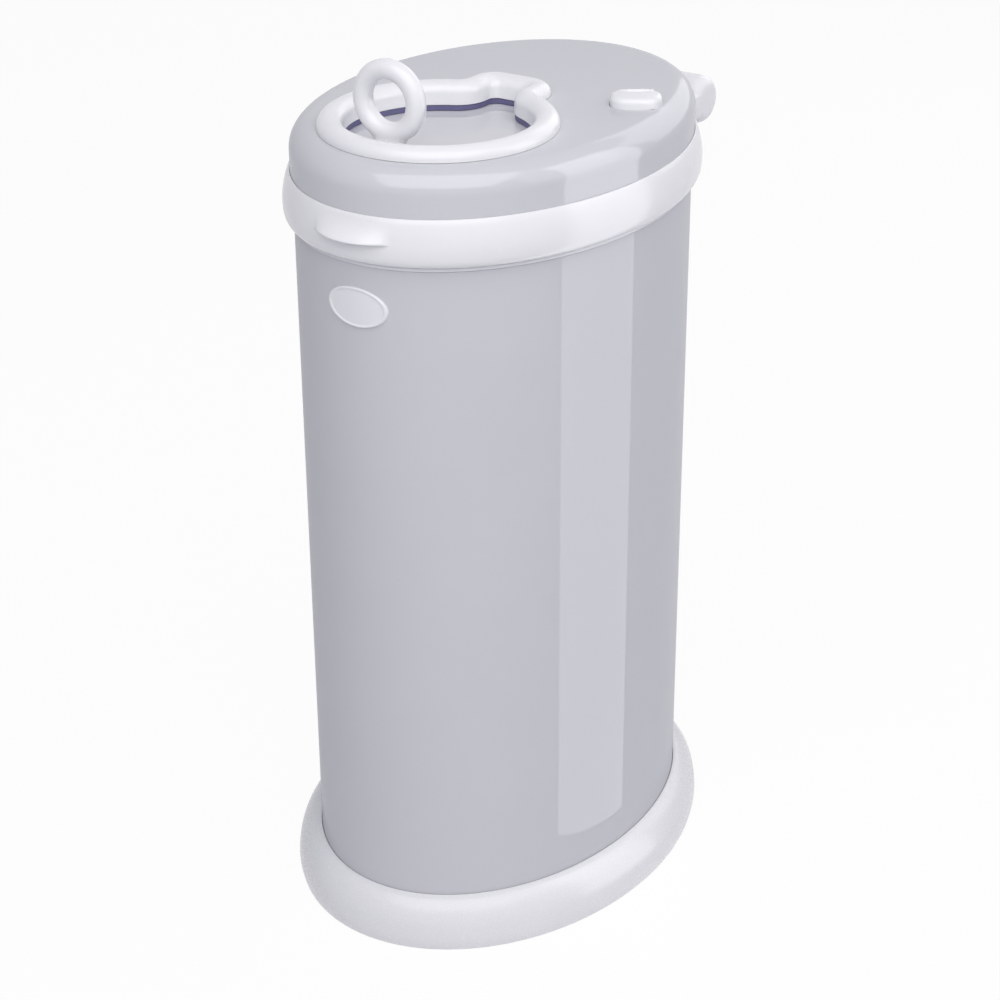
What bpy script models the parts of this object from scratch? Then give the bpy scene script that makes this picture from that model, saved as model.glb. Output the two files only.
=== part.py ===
"""Oval steel nappy bin with a hinged lid, a sliding door and a push-button lock.

Lengths are in metres, +Z is up, and the bin's front faces -Y.
Every piece is modelled about the shell's own upright axis. The empties at the
end carry the pieces and put the bin's footprint centre on the origin.
"""
import math

import bmesh
import bpy
from mathutils import Matrix, Vector

for old_object in list(bpy.data.objects):
    bpy.data.objects.remove(old_object)

# Fits and facets
GAP = 0.0003
OVERRUN = 0.004
OVAL_STEPS = 40
CIRCLE_STEPS = 32
SCREW_STEPS = 8
BORE_STEPS = 12
WELD = 0.00001

# Shell: an oval steel tube
SHELL_WIDTH = 0.215
SHELL_LENGTH = 0.294
SHELL_WALL = 0.001
SHELL_TOP = 0.4580
PARTING_RISE = 0.0029

# Base rim: a hollow moulded ring round the shell's foot
BASE_FLARE = 0.0161
BASE_HEIGHT = 0.0330
BASE_SKIN = 0.003
BASE_CLEARANCE = 0.0008
BASE_JOINT_GAP = 0.0008
BASE_CURVE_SHARES = (
    (0.93, 0.0), (1.0, 0.18), (0.97, 0.40), (0.86, 0.62), (0.60, 0.84), (0.32, 0.96), (0.12, 1.0),
)
LEDGE_REACH = 0.006
LEDGE_TOP = 0.0200
LEDGE_THICKNESS = 0.003

# Floor pan and its screws
PAN_WALL = 0.0012
PAN_HEIGHT = 0.010
BASE_SCREW_ANGLES = (40.0, 140.0, 220.0, 320.0)
BASE_SCREW_HEAD_RADIUS = 0.0026
BASE_SCREW_HEAD_HEIGHT = 0.0013
BASE_SCREW_RADIUS = 0.0014
BASE_SCREW_STAND = 0.002

# Rubber feet on bosses in the rim's hollow
FOOT_ANGLES = (28.0, 152.0, 208.0, 332.0)
FOOT_RADIUS = 0.007
FOOT_HEIGHT = 0.003
FOOT_STEM_RADIUS = 0.002
FOOT_STEM_LENGTH = 0.006
FOOT_SETOUT = 0.0042
BOSS_WALL = 0.003

# Collar on the shell's top edge and the loose bag ring in it
COLLAR_LIP = 0.0006
COLLAR_WALL = 0.0022
COLLAR_DEPTH = 0.034
COLLAR_LEDGE_REACH = 0.0055
COLLAR_LEDGE_DROP = 0.0105
COLLAR_LEDGE_THICKNESS = 0.002
BAG_RING_WALL = 0.0025
BAG_RING_DROP = 0.0016
BAG_RING_DECK = 0.0175
BAG_RING_FALL = 0.003
BAG_RING_THROAT = 0.024
GRIP_LENGTH = 0.036
GRIP_WIDTH = 0.009

# Lid frame: the bulged band
BAND_HEIGHT = 0.0285
BAND_BULGE = 0.0063
BAND_SKIN = 0.0024
BAND_CURVE_SHARES = (
    (0.10, 0.0), (0.57, 0.035), (0.89, 0.135), (1.0, 0.30),
    (0.985, 0.48), (0.825, 0.70), (0.57, 0.90), (0.37, 1.0),
)
FLANGE_REACH = 0.006
FLANGE_THICKNESS = 0.0022
SHELF_BELOW_TOP = 0.0072
SHELF_REACH = 0.0015
SHELF_THICKNESS = 0.0022

# Thumb lip at the front of the band
LIP_WIDTH = 0.052
LIP_REACH = 0.0062
LIP_EDGE_SHARE = 0.545
LIP_EDGE = 0.0014
LIP_RISE = 0.0112
LIP_SLOPE = 0.0098
LIP_STEPS = 40

# Lid cover: a steel dish
COVER_OFFSET = 0.0012
COVER_WALL = 0.001
LID_HEIGHT = 0.0559
COVER_EDGE_RADIUS = 0.0145
EDGE_SEGMENTS = 4

# Opening and bezel: a round mouth with a slot at its back, fitted into the shell's oval
MOUTH_SIDE_MARGIN = 0.0367
MOUTH_FRONT_MARGIN = 0.0142
SLOT_LENGTH = 0.0212
SLOT_HALF_WIDTH = 0.0275
SLOT_CORNER = 0.0175
SLOT_FILLET = 0.005
MOUTH_STEPS = 30
CORNER_STEPS = 4
FILLET_STEPS = 3
RIM_WIDTH = 0.0155
RIM_HEIGHT = 0.0077
RIM_ARC_STEPS = 5
BEZEL_WALL = 0.0025
BEZEL_DEPTH = 0.0058
BEZEL_NECK = 0.0123
BEZEL_BEAD = 0.0112
BEZEL_BEAD_HEIGHT = 0.0014

# Slide door
DOOR_THICKNESS = 0.0022
DOOR_SEAL_GAP = 0.0034
DOOR_OVERLAP = 0.0042
DOOR_STRAIGHT = 0.0213
DOOR_EDGE_ROUND = 0.0005
DOOR_SEAL_INSET = 0.0005

# Ring handle, set back from the mouth's front and raised above the cover
HANDLE_SETBACK = 0.0235
HANDLE_RISE = 0.0266
HANDLE_RING_RADIUS = 0.0182
HANDLE_TUBE_RADIUS = 0.0059
STEM_HALF_WIDTH = 0.0098
STEM_HALF_DEPTH = 0.0055
STEM_EXPONENT = 3.0
RING_STEPS = 28
TUBE_STEPS = 10
HANDLE_SCREW_SPACING = 0.012
HANDLE_SCREW_RADIUS = 0.0013
HANDLE_SCREW_LENGTH = 0.0085
HANDLE_SCREW_HEAD_RADIUS = 0.0026
HANDLE_SCREW_HEAD_HEIGHT = 0.0011

# Inner lid panel with the throat
PANEL_THICKNESS = 0.0022
PANEL_EDGE = 0.0005
THROAT_WALL = 0.002
PANEL_BOSS_RADIUS = 0.0032
PANEL_BOSS_HEIGHT = 0.006
LID_SEAL_OFFSET = 0.0075
LID_SEAL_WIDTH = 0.003
LID_SCREW_ANGLES = (15.0, 65.0, 115.0, 165.0, 235.0, 305.0)
LID_SCREW_INSET = 0.0033
LID_SCREW_RADIUS = 0.0012
LID_SCREW_HEAD_RADIUS = 0.0022
LID_SCREW_HEAD_HEIGHT = 0.001

# Door rails
RAIL_WEB = 0.0039
RAIL_FOOT_WIDTH = 0.0105
RAIL_FOOT_THICKNESS = 0.002
RAIL_SUPPORT_REACH = 0.0023
RAIL_SUPPORT_THICKNESS = 0.002
RAIL_HOOK_REACH = 0.0017
RAIL_HOOK_THICKNESS = 0.0018
RAIL_SIDE_GAP = 0.0004
RAIL_FRONT_CLEARANCE = 0.0062
RAIL_REAR_CLEARANCE = 0.0022
RAIL_FRONT_SCREW_INSET = 0.020
RAIL_REAR_SCREW_SHARE = 0.56
PANEL_SCREW_RADIUS = 0.0012
PANEL_SCREW_HEAD_RADIUS = 0.0024
PANEL_SCREW_HEAD_HEIGHT = 0.0009

# Lock: button, plunger with latch nose, spring and housing
LOCK_RAIL_GAP = 0.0138
LOCK_REAR_DISTANCE = 0.1150
LOCK_TURN = 33.0
BUTTON_HALF_LENGTH = 0.0155
BUTTON_HALF_WIDTH = 0.0116
BUTTON_EXPONENT = 2.5
BUTTON_RISE = 0.0074
BUTTON_ROUND = 0.0035
BUTTON_HOLE_GAP = 0.0004
BUTTON_TOP_GAP = 0.0010
BUTTON_FLANGE_REACH = 0.0012
BUTTON_FLANGE_HEIGHT = 0.0015
BUTTON_STEPS = 28
LATCH_PLACE_SHARE = 0.76
LATCH_RADIUS = 0.003
LATCH_SIDE_GAP = 0.0004
LATCH_ARM_WIDTH = 0.006
LATCH_ARM_THICKNESS = 0.0025
LATCH_NOSE_GAP = 0.0005
PLUNGER_HUB_RADIUS = 0.0045
PLUNGER_STEM_RADIUS = 0.0026
PLUNGER_STEM_LENGTH = 0.0024
PLUNGER_PEG_RADIUS = 0.002
PLUNGER_PEG_LENGTH = 0.005
HOUSING_RADIUS = 0.0059
HOUSING_WALL = 0.0013
HOUSING_TOP_BELOW_HUB = 0.0035
HOUSING_CUP_DEPTH = 0.0043
HOUSING_FLOOR = 0.0018
HOUSING_FOOT_RADIUS = 0.0115
SPRING_RADIUS = 0.0037
SPRING_WIRE = 0.0004
SPRING_TURNS = 4
SPRING_STEPS = 8
LATCH_GAP_CLEARANCE = 0.0037

# Hinge, set out from the shell's back and along the barrel
HINGE_SETOUT = 0.011
HINGE_RISE = 0.0221
BARREL_RADIUS = 0.0154
BARREL_HALF_LENGTH = 0.059
BARREL_ROUND = 0.0075
OUTER_KNUCKLE_LENGTH = 0.028
POCKET_RADIUS = 0.0087
WEB_END_INSET = 0.0045
WEB_BELOW_AXIS = 0.0115
WEB_ABOVE_AXIS = 0.0095
WEB_DEPTH = 0.035
POCKET_INSET = 0.002
KNUCKLE_RADIUS = 0.008
PIN_RADIUS = 0.0024
PIN_END_INSET = 0.009
BRACKET_PLATE = 0.0027
BRACKET_GUSSET_HEIGHT = 0.0155
BRACKET_ARM_SETOUT = 0.0016
BRACKET_ARM_THICKNESS = 0.0048
CAP_RADIUS = 0.0055
CAP_THICKNESS = 0.0014
CAP_PLUG_LENGTH = 0.006
RIVET_ANGLES = (81.0, 99.0)
RIVET_COLLAR_CLEARANCE = 0.0075
RIVET_ROW_SPACING = 0.020
RIVET_EDGE_DISTANCE = 0.008
RIVET_RADIUS = 0.0016
RIVET_HEAD_RADIUS = 0.0034
RIVET_HEAD_HEIGHT = 0.0014

# Badge: a bare oval plate on the front
BADGE_WIDTH = 0.0415
BADGE_HEIGHT = 0.0240
BADGE_THICKNESS = 0.0012
BADGE_DROP = 0.0257

# Heights that several pieces share
PARTING_Z = SHELL_TOP + PARTING_RISE
BADGE_Z = SHELL_TOP - BADGE_DROP
COLLAR_LEDGE_TOP = SHELL_TOP - COLLAR_LEDGE_DROP
BAG_RING_TOP = PARTING_Z - BAG_RING_DROP
COVER_TOP = PARTING_Z + LID_HEIGHT
COVER_INNER_TOP = COVER_TOP - COVER_WALL
BAND_TOP = PARTING_Z + BAND_HEIGHT
SHELF_TOP = BAND_TOP - SHELF_BELOW_TOP
COVER_BOTTOM = SHELF_TOP + GAP
COLLAR_TOP = PARTING_Z - GAP
PANEL_BOTTOM = PARTING_Z + FLANGE_THICKNESS + GAP
PANEL_TOP = PANEL_BOTTOM + PANEL_THICKNESS
MOUNT_Z = PANEL_TOP + GAP
BEZEL_BOTTOM = COVER_TOP - BEZEL_DEPTH
DOOR_TOP = BEZEL_BOTTOM - DOOR_SEAL_GAP - GAP
DOOR_BOTTOM = DOOR_TOP - DOOR_THICKNESS
HANDLE_CENTRE_Z = COVER_TOP + HANDLE_RISE
PLUNGER_TOP = COVER_INNER_TOP - BUTTON_TOP_GAP - BUTTON_FLANGE_HEIGHT - GAP
PLUNGER_HUB_BOTTOM = PLUNGER_TOP - LATCH_ARM_THICKNESS
HOUSING_TOP = PLUNGER_HUB_BOTTOM - HOUSING_TOP_BELOW_HUB
CUP_FLOOR = HOUSING_TOP - HOUSING_CUP_DEPTH
HINGE_Z = PARTING_Z + HINGE_RISE
BRACKET_GUSSET_Z = SHELL_TOP - BRACKET_GUSSET_HEIGHT
UPPER_RIVET_Z = SHELL_TOP - COLLAR_DEPTH - RIVET_COLLAR_CLEARANCE
RIVET_HEIGHTS = (UPPER_RIVET_Z - RIVET_ROW_SPACING, UPPER_RIVET_Z)
BRACKET_BOTTOM_Z = RIVET_HEIGHTS[0] - RIVET_EDGE_DISTANCE

# The opening, the door under it and the ring on the door
MOUTH_RADIUS = SHELL_WIDTH / 2 - MOUTH_SIDE_MARGIN
MOUTH_Y = MOUTH_RADIUS + MOUTH_FRONT_MARGIN - SHELL_LENGTH / 2
SLOT_REAR_Y = MOUTH_Y + MOUTH_RADIUS + SLOT_LENGTH
THROAT_RADIUS = MOUTH_RADIUS - RIM_WIDTH
DOOR_RADIUS = THROAT_RADIUS + DOOR_OVERLAP
DOOR_REAR_Y = MOUTH_Y + DOOR_STRAIGHT
HANDLE_Y = MOUTH_Y - MOUTH_RADIUS + HANDLE_SETBACK

# The rails run along the door's sides and stop where the oval closes in on them
RAIL_INNER_X = DOOR_RADIUS + RAIL_SIDE_GAP
RAIL_OUTER_X = RAIL_INNER_X + RAIL_WEB + RAIL_FOOT_WIDTH
RAIL_SPAN_Y = SHELL_LENGTH / 2 * math.sqrt(1 - (2 * RAIL_OUTER_X / SHELL_WIDTH) ** 2)
RAIL_FRONT_Y = RAIL_FRONT_CLEARANCE - RAIL_SPAN_Y
RAIL_REAR_Y = RAIL_SPAN_Y - RAIL_REAR_CLEARANCE

# The lock stands outside the right rail, and its nose waits just behind the door's rear arc
LOCK_X = RAIL_INNER_X + RAIL_WEB + LOCK_RAIL_GAP
LOCK_Y = SHELL_LENGTH / 2 - LOCK_REAR_DISTANCE
LATCH_REACH = DOOR_RADIUS + LATCH_RADIUS + LATCH_SIDE_GAP
LATCH_X = DOOR_RADIUS * LATCH_PLACE_SHARE
LATCH_Y = DOOR_REAR_Y + math.sqrt(LATCH_REACH ** 2 - LATCH_X ** 2)
LATCH_ARM_LENGTH = math.hypot(LOCK_X - LATCH_X, LOCK_Y - LATCH_Y)
LATCH_ARM_SLOPE = (LOCK_Y - LATCH_Y) / (LOCK_X - LATCH_X)
LATCH_GAP_Y = LOCK_Y - (RAIL_WEB / 2 + LOCK_RAIL_GAP) * LATCH_ARM_SLOPE
LATCH_GAP_LENGTH = (
    RAIL_WEB * abs(LATCH_ARM_SLOPE) + LATCH_ARM_WIDTH * math.hypot(1, LATCH_ARM_SLOPE)
    + LATCH_GAP_CLEARANCE * 2
)
RAIL_SCREW_PLACES_Y = (
    RAIL_FRONT_Y + RAIL_FRONT_SCREW_INSET,
    (LOCK_Y + HOUSING_FOOT_RADIUS) * (1 - RAIL_REAR_SCREW_SHARE)
    + RAIL_REAR_Y * RAIL_REAR_SCREW_SHARE,
)

# The hinge, its bracket and the web that carries it
HINGE_Y = SHELL_LENGTH / 2 + HINGE_SETOUT
WEB_FRONT_Y = SHELL_LENGTH / 2 - WEB_DEPTH
BRACKET_ARM_FRONT_Y = SHELL_LENGTH / 2 + BRACKET_ARM_SETOUT
BRACKET_ARM_REAR_Y = BRACKET_ARM_FRONT_Y + BRACKET_ARM_THICKNESS
COWL_HALF_LENGTH = BARREL_HALF_LENGTH - OUTER_KNUCKLE_LENGTH
WEB_HALF_LENGTH = BARREL_HALF_LENGTH - WEB_END_INSET
PIN_HALF_LENGTH = BARREL_HALF_LENGTH - PIN_END_INSET

# The footprint runs from the base rim at the front to the hinge at the back
FRONT_REACH = SHELL_LENGTH / 2 + BASE_FLARE
REAR_REACH = HINGE_Y + BARREL_RADIUS
AXIS_Y = (FRONT_REACH - REAR_REACH) / 2

WHITE = (0.88, 0.88, 0.90)
PAINTED_GREY = (0.56, 0.56, 0.61)
DARK_RUBBER = (0.05, 0.05, 0.07)
SEAL_GREY = (0.16, 0.15, 0.24)
BRIGHT_STEEL = (0.62, 0.62, 0.63)


# Scene helpers

def new_collection(name):
    collection = bpy.data.collections.new(name)
    bpy.context.scene.collection.children.link(collection)
    return collection


PARTS = new_collection("nappy_bin")
CUTTERS = new_collection("cutters")


def add_mesh(name, shape):
    """Make an object from a bmesh and keep it with the parts."""
    mesh = bpy.data.meshes.new(name)
    shape.to_mesh(mesh)
    shape.free()
    made = bpy.data.objects.new(name, mesh)
    PARTS.objects.link(made)
    return made


def as_tool(tool):
    """Put a helper shape with the cutters, out of renders."""
    for collection in list(tool.users_collection):
        collection.objects.unlink(tool)
    CUTTERS.objects.link(tool)
    tool.hide_render = True
    tool.display_type = "WIRE"
    return tool


def combine(target, tool, operation):
    modifier = target.modifiers.new(f"{operation.lower()}_{tool.name}", "BOOLEAN")
    modifier.operation = operation
    modifier.object = as_tool(tool)
    return target


def cut(target, tool):
    return combine(target, tool, "DIFFERENCE")


def join(target, tool):
    return combine(target, tool, "UNION")


def keep_inside(target, tool):
    return combine(target, tool, "INTERSECT")


def flat_curve(name, outline):
    """A closed plane curve through the outline's points."""
    curve = bpy.data.curves.new(name, "CURVE")
    curve.dimensions = "2D"
    curve.fill_mode = "NONE"
    spline = curve.splines.new("POLY")
    spline.points.add(len(outline) - 1)
    for point, (x, y) in zip(spline.points, outline):
        point.co = (x, y, 0.0, 1.0)
    spline.use_cyclic_u = True
    made = bpy.data.objects.new(name, curve)
    PARTS.objects.link(made)
    return made


def to_mesh_object(source):
    """Turn a curve object, or one with modifiers, into a plain welded mesh."""
    name = source.name
    graph = bpy.context.evaluated_depsgraph_get()
    mesh = bpy.data.meshes.new_from_object(source.evaluated_get(graph))
    place = source.matrix_world.copy()
    bpy.data.objects.remove(source)
    shape = bmesh.new()
    shape.from_mesh(mesh)
    bpy.data.meshes.remove(mesh)
    bmesh.ops.remove_doubles(shape, verts=shape.verts, dist=WELD)
    made = add_mesh(name, shape)
    made.matrix_world = place
    return made


def prism(name, outline, bottom, top):
    """An upright solid of the outline between two heights."""
    made = flat_curve(name, outline)
    made.data.fill_mode = "BOTH"
    made.data.extrude = (top - bottom) / 2
    made.location.z = (top + bottom) / 2
    bpy.context.view_layer.update()
    return to_mesh_object(made)


def bar_along_y(name, outline, front, rear):
    """A solid of an outline in X and Z that runs from front to rear."""
    made = flat_curve(name, outline)
    made.data.fill_mode = "BOTH"
    made.data.extrude = (rear - front) / 2
    made.location.y = (rear + front) / 2
    made.rotation_euler.x = math.radians(90.0)
    bpy.context.view_layer.update()
    return to_mesh_object(made)


def sweep(name, path, section):
    """Carry a section of (outward, height) points round a closed path."""
    profile = flat_curve(f"{name}_section", [(-outward, height) for outward, height in section])
    rail = flat_curve(name, path)
    rail.data.bevel_mode = "OBJECT"
    rail.data.bevel_object = profile
    made = to_mesh_object(rail)
    bpy.data.objects.remove(profile)
    return made


def turned(name, profile, steps):
    """Turn a profile of (radius, height) points, top to bottom, about Z."""
    shape = bmesh.new()
    points = [shape.verts.new((radius, 0.0, height)) for radius, height in profile]
    for upper, lower in zip(points, points[1:]):
        shape.edges.new((upper, lower))
    made = add_mesh(name, shape)
    screw = made.modifiers.new("turn", "SCREW")
    screw.steps = steps
    screw.render_steps = steps
    screw.use_merge_vertices = True
    screw.merge_threshold = WELD
    return made


def cylinder(name, radius, bottom, top, x=0.0, y=0.0, steps=CIRCLE_STEPS):
    shape = bmesh.new()
    bmesh.ops.create_cone(
        shape, cap_ends=True, segments=steps,
        radius1=radius, radius2=radius, depth=top - bottom,
    )
    made = add_mesh(name, shape)
    made.location = (x, y, (top + bottom) / 2)
    return made


def rod_along_x(name, radius, left, right, y, z, steps=CIRCLE_STEPS):
    made = cylinder(name, radius, left, right, steps=steps)
    made.location = ((left + right) / 2, y, z)
    made.rotation_euler.y = math.radians(90.0)
    return made


def box(name, low, high):
    shape = bmesh.new()
    bmesh.ops.create_cube(shape, size=1.0)
    size = [far - near for near, far in zip(low, high)]
    bmesh.ops.scale(shape, vec=size, verts=shape.verts)
    made = add_mesh(name, shape)
    made.location = [(near + far) / 2 for near, far in zip(low, high)]
    return made


def hole_pattern(name, pattern, placements):
    """Copies of one hole at several placements, as a single cutter."""
    single = to_mesh_object(pattern)
    shape = bmesh.new()
    for placement in placements:
        copy = single.data.copy()
        copy.transform(placement)
        shape.from_mesh(copy)
        bpy.data.meshes.remove(copy)
    bpy.data.objects.remove(single)
    return add_mesh(name, shape)


def copies(name, pattern, placements):
    """One piece at several placements, numbered, all with the same mesh."""
    single = to_mesh_object(pattern)
    made = []
    for number, placement in enumerate(placements, 1):
        piece = bpy.data.objects.new(f"{name}_{number}", single.data)
        PARTS.objects.link(piece)
        piece.matrix_world = placement
        made.append(piece)
    bpy.data.objects.remove(single)
    return made


def round_edges_at(target, height, radius, segments):
    """Round the border of the flat cap that a prism has at one height."""
    shape = bmesh.new()
    shape.from_mesh(target.data)
    bmesh.ops.dissolve_limit(
        shape, angle_limit=math.radians(1.0), verts=shape.verts, edges=shape.edges,
    )
    weight = shape.edges.layers.float.new("bevel_weight_edge")
    level = height - target.location.z
    for edge in shape.edges:
        if all(abs(vert.co.z - level) < WELD for vert in edge.verts):
            edge[weight] = 1.0
    shape.to_mesh(target.data)
    shape.free()
    bevel = target.modifiers.new("rounded_edge", "BEVEL")
    bevel.limit_method = "WEIGHT"
    bevel.width = radius
    bevel.segments = segments
    return target


def finish(target, colour, roughness, metallic=0.0):
    """Give a piece its own material and smooth shading over its round faces."""
    material = bpy.data.materials.new(target.name)
    material.use_nodes = True
    shader = material.node_tree.nodes["Principled BSDF"]
    shader.inputs["Base Color"].default_value = (*colour, 1.0)
    shader.inputs["Roughness"].default_value = roughness
    shader.inputs["Metallic"].default_value = metallic
    target.data.materials.clear()
    target.data.materials.append(material)
    target.data.shade_smooth()
    target.data.set_sharp_from_angle(angle=math.radians(35.0))
    return target


# Outlines, as lists of (x, y) running anticlockwise

def on_oval(degrees, offset=0.0):
    """A point at an offset outside the shell's outer face, and its outward direction."""
    turn = math.radians(degrees)
    half_width = SHELL_WIDTH / 2
    half_length = SHELL_LENGTH / 2
    outward = Vector((math.cos(turn) / half_width, math.sin(turn) / half_length)).normalized()
    point = Vector((half_width * math.cos(turn), half_length * math.sin(turn)))
    return point + outward * offset, outward


def on_facet(degrees):
    """The middle of the flat facet nearest an angle, and its outward direction."""
    pitch = 360.0 / OVAL_STEPS
    middle = round(degrees / pitch) * pitch
    near, _ = on_oval(middle - pitch / 2)
    far, _ = on_oval(middle + pitch / 2)
    along = (far - near).normalized()
    return (near + far) / 2, Vector((along.y, -along.x))


def oval(offset):
    turns = (360.0 * (step + 0.5) / OVAL_STEPS for step in range(OVAL_STEPS))
    return [tuple(on_oval(turn, offset)[0]) for turn in turns]


def arc(x, y, radius, start, end, steps):
    angles = (math.radians(start + (end - start) * step / steps) for step in range(steps + 1))
    return [(x + radius * math.cos(angle), y + radius * math.sin(angle)) for angle in angles]


def circle(x, y, radius, steps=CIRCLE_STEPS):
    return arc(x, y, radius, 0.0, 360.0, steps)[:-1]


def keyhole(inset):
    """The bezel's outline, moved in by the inset: a round mouth and a slot behind it."""
    reach = SLOT_HALF_WIDTH + SLOT_FILLET
    rise = math.sqrt((MOUTH_RADIUS + SLOT_FILLET) ** 2 - reach ** 2)
    fillet_y = MOUTH_Y + rise
    lean = math.degrees(math.atan2(rise, reach))
    corner_x = SLOT_HALF_WIDTH - SLOT_CORNER
    corner_y = SLOT_REAR_Y - SLOT_CORNER
    fillet = SLOT_FILLET + inset
    corner = SLOT_CORNER - inset
    points = arc(corner_x, corner_y, corner, 0.0, 90.0, CORNER_STEPS)
    points += arc(-corner_x, corner_y, corner, 90.0, 180.0, CORNER_STEPS)
    points += arc(-reach, fillet_y, fillet, 0.0, -lean, FILLET_STEPS)
    points += arc(0.0, MOUTH_Y, MOUTH_RADIUS - inset, 180.0 - lean, 360.0 + lean, MOUTH_STEPS)[1:-1]
    points += arc(reach, fillet_y, fillet, 180.0 + lean, 180.0, FILLET_STEPS)
    return points


def stadium(radius, front_y, rear_y):
    """Two half circles joined by straight sides."""
    steps = CIRCLE_STEPS // 2
    return arc(0.0, rear_y, radius, 0.0, 180.0, steps) + arc(0.0, front_y, radius, 180.0, 360.0, steps)


def rounded_oblong(x, y, half_length, half_width, exponent, turn, steps):
    """A superellipse, turned about its centre."""
    points = []
    for step in range(steps):
        angle = math.tau * (step + 0.5) / steps
        along = math.copysign(abs(math.cos(angle)) ** (2 / exponent), math.cos(angle)) * half_length
        across = math.copysign(abs(math.sin(angle)) ** (2 / exponent), math.sin(angle)) * half_width
        swing = math.radians(turn)
        points.append((
            x + along * math.cos(swing) - across * math.sin(swing),
            y + along * math.sin(swing) + across * math.cos(swing),
        ))
    return points


# Section lines, as lists of (outward, height)

def outer_line(shares, bulge, bottom, height):
    return [(out_share * bulge, bottom + rise_share * height) for out_share, rise_share in shares]


def skin_line(line, thickness):
    """The line moved in by the skin's thickness, square to its own run."""
    moved = []
    for index, point in enumerate(line):
        before = Vector(line[max(index - 1, 0)])
        after = Vector(line[min(index + 1, len(line) - 1)])
        along = (after - before).normalized()
        moved.append((point[0] - along.y * thickness, point[1] + along.x * thickness))
    return moved


def at_height(line, height):
    """How far out a rising line stands at a height."""
    for (low_out, low), (high_out, high) in zip(line, line[1:]):
        if low <= height <= high:
            return low_out + (high_out - low_out) * (height - low) / (high - low)
    return line[-1][0]


def stretch(line, low, high):
    """The part of a rising line between two heights."""
    middle = [point for point in line if low < point[1] < high]
    return [(at_height(line, low), low)] + middle + [(at_height(line, high), high)]


# Base

def base_rim():
    outer = outer_line(BASE_CURVE_SHARES, BASE_FLARE, BASE_CLEARANCE, BASE_HEIGHT - BASE_CLEARANCE)
    inner = skin_line(outer, BASE_SKIN)
    sleeve = BASE_JOINT_GAP + BASE_SKIN
    ledge_bottom = LEDGE_TOP - LEDGE_THICKNESS
    hollow = [point for point in inner[1:] if point[0] > sleeve + BASE_SKIN / 2]
    section = outer + [
        (BASE_JOINT_GAP, BASE_HEIGHT),
        (BASE_JOINT_GAP, LEDGE_TOP),
        (-LEDGE_REACH, LEDGE_TOP),
        (-LEDGE_REACH, ledge_bottom),
        (sleeve, ledge_bottom),
        (sleeve, hollow[-1][1]),
    ] + hollow[::-1] + [(outer[0][0] - BASE_SKIN, outer[0][1])]
    rim = sweep("base_rim", oval(0.0), section)
    for number, angle in enumerate(FOOT_ANGLES, 1):
        (x, y), _ = on_oval(angle, FOOT_SETOUT)
        boss = cylinder(
            f"foot_boss_{number}", FOOT_STEM_RADIUS + BOSS_WALL,
            FOOT_HEIGHT + GAP, LEDGE_TOP - GAP, x, y, BORE_STEPS,
        )
        join(rim, boss)
    for number, angle in enumerate(FOOT_ANGLES, 1):
        (x, y), _ = on_oval(angle, FOOT_SETOUT)
        socket = cylinder(
            f"foot_socket_{number}", FOOT_STEM_RADIUS + GAP,
            0.0, FOOT_HEIGHT + FOOT_STEM_LENGTH + GAP, x, y, BORE_STEPS,
        )
        cut(rim, socket)
    drill_base_holes(rim, "rim")
    return finish(rim, WHITE, 0.28)


def drill_base_holes(target, label):
    for number, angle in enumerate(BASE_SCREW_ANGLES, 1):
        (x, y), _ = on_oval(angle, base_screw_offset())
        hole = cylinder(
            f"{label}_screw_hole_{number}", BASE_SCREW_RADIUS + GAP,
            0.0, LEDGE_TOP + PAN_HEIGHT / 2, x, y, SCREW_STEPS,
        )
        cut(target, hole)


def base_screw_offset():
    """The screws stand in the middle of the ledge inside the pan's wall."""
    return -(LEDGE_REACH + SHELL_WALL) / 2


def rubber_feet():
    feet = []
    for number, angle in enumerate(FOOT_ANGLES, 1):
        (x, y), _ = on_oval(angle, FOOT_SETOUT)
        top = FOOT_HEIGHT + FOOT_STEM_LENGTH
        foot = turned(f"rubber_foot_{number}", [
            (0.0, top), (FOOT_STEM_RADIUS, top), (FOOT_STEM_RADIUS, FOOT_HEIGHT),
            (FOOT_RADIUS, FOOT_HEIGHT), (FOOT_RADIUS, 0.0), (0.0, 0.0),
        ], BORE_STEPS)
        foot.location = (x, y, 0.0)
        feet.append(finish(foot, DARK_RUBBER, 0.8))
    return feet


def bottom_plate():
    bottom = LEDGE_TOP + GAP
    edge = -SHELL_WALL - GAP
    pan = prism("bottom_plate", oval(edge), bottom, bottom + PAN_HEIGHT)
    inside = prism(
        "pan_inside", oval(edge - PAN_WALL), bottom + PAN_WALL, bottom + PAN_HEIGHT + OVERRUN,
    )
    cut(pan, inside)
    drill_base_holes(pan, "pan")
    return finish(pan, PAINTED_GREY, 0.45)


def base_screws():
    ledge_bottom = LEDGE_TOP - LEDGE_THICKNESS
    top = LEDGE_TOP + GAP + PAN_WALL + BASE_SCREW_STAND
    head_top = ledge_bottom - GAP
    screw = turned("base_screw_pattern", [
        (0.0, top), (BASE_SCREW_RADIUS, top), (BASE_SCREW_RADIUS, head_top),
        (BASE_SCREW_HEAD_RADIUS, head_top),
        (BASE_SCREW_HEAD_RADIUS, head_top - BASE_SCREW_HEAD_HEIGHT),
        (0.0, head_top - BASE_SCREW_HEAD_HEIGHT),
    ], SCREW_STEPS)
    finish(screw, BRIGHT_STEEL, 0.35, 1.0)
    spots = [on_oval(angle, base_screw_offset())[0] for angle in BASE_SCREW_ANGLES]
    return copies("base_screw", screw, [Matrix.Translation((x, y, 0.0)) for x, y in spots])


# Shell

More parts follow.
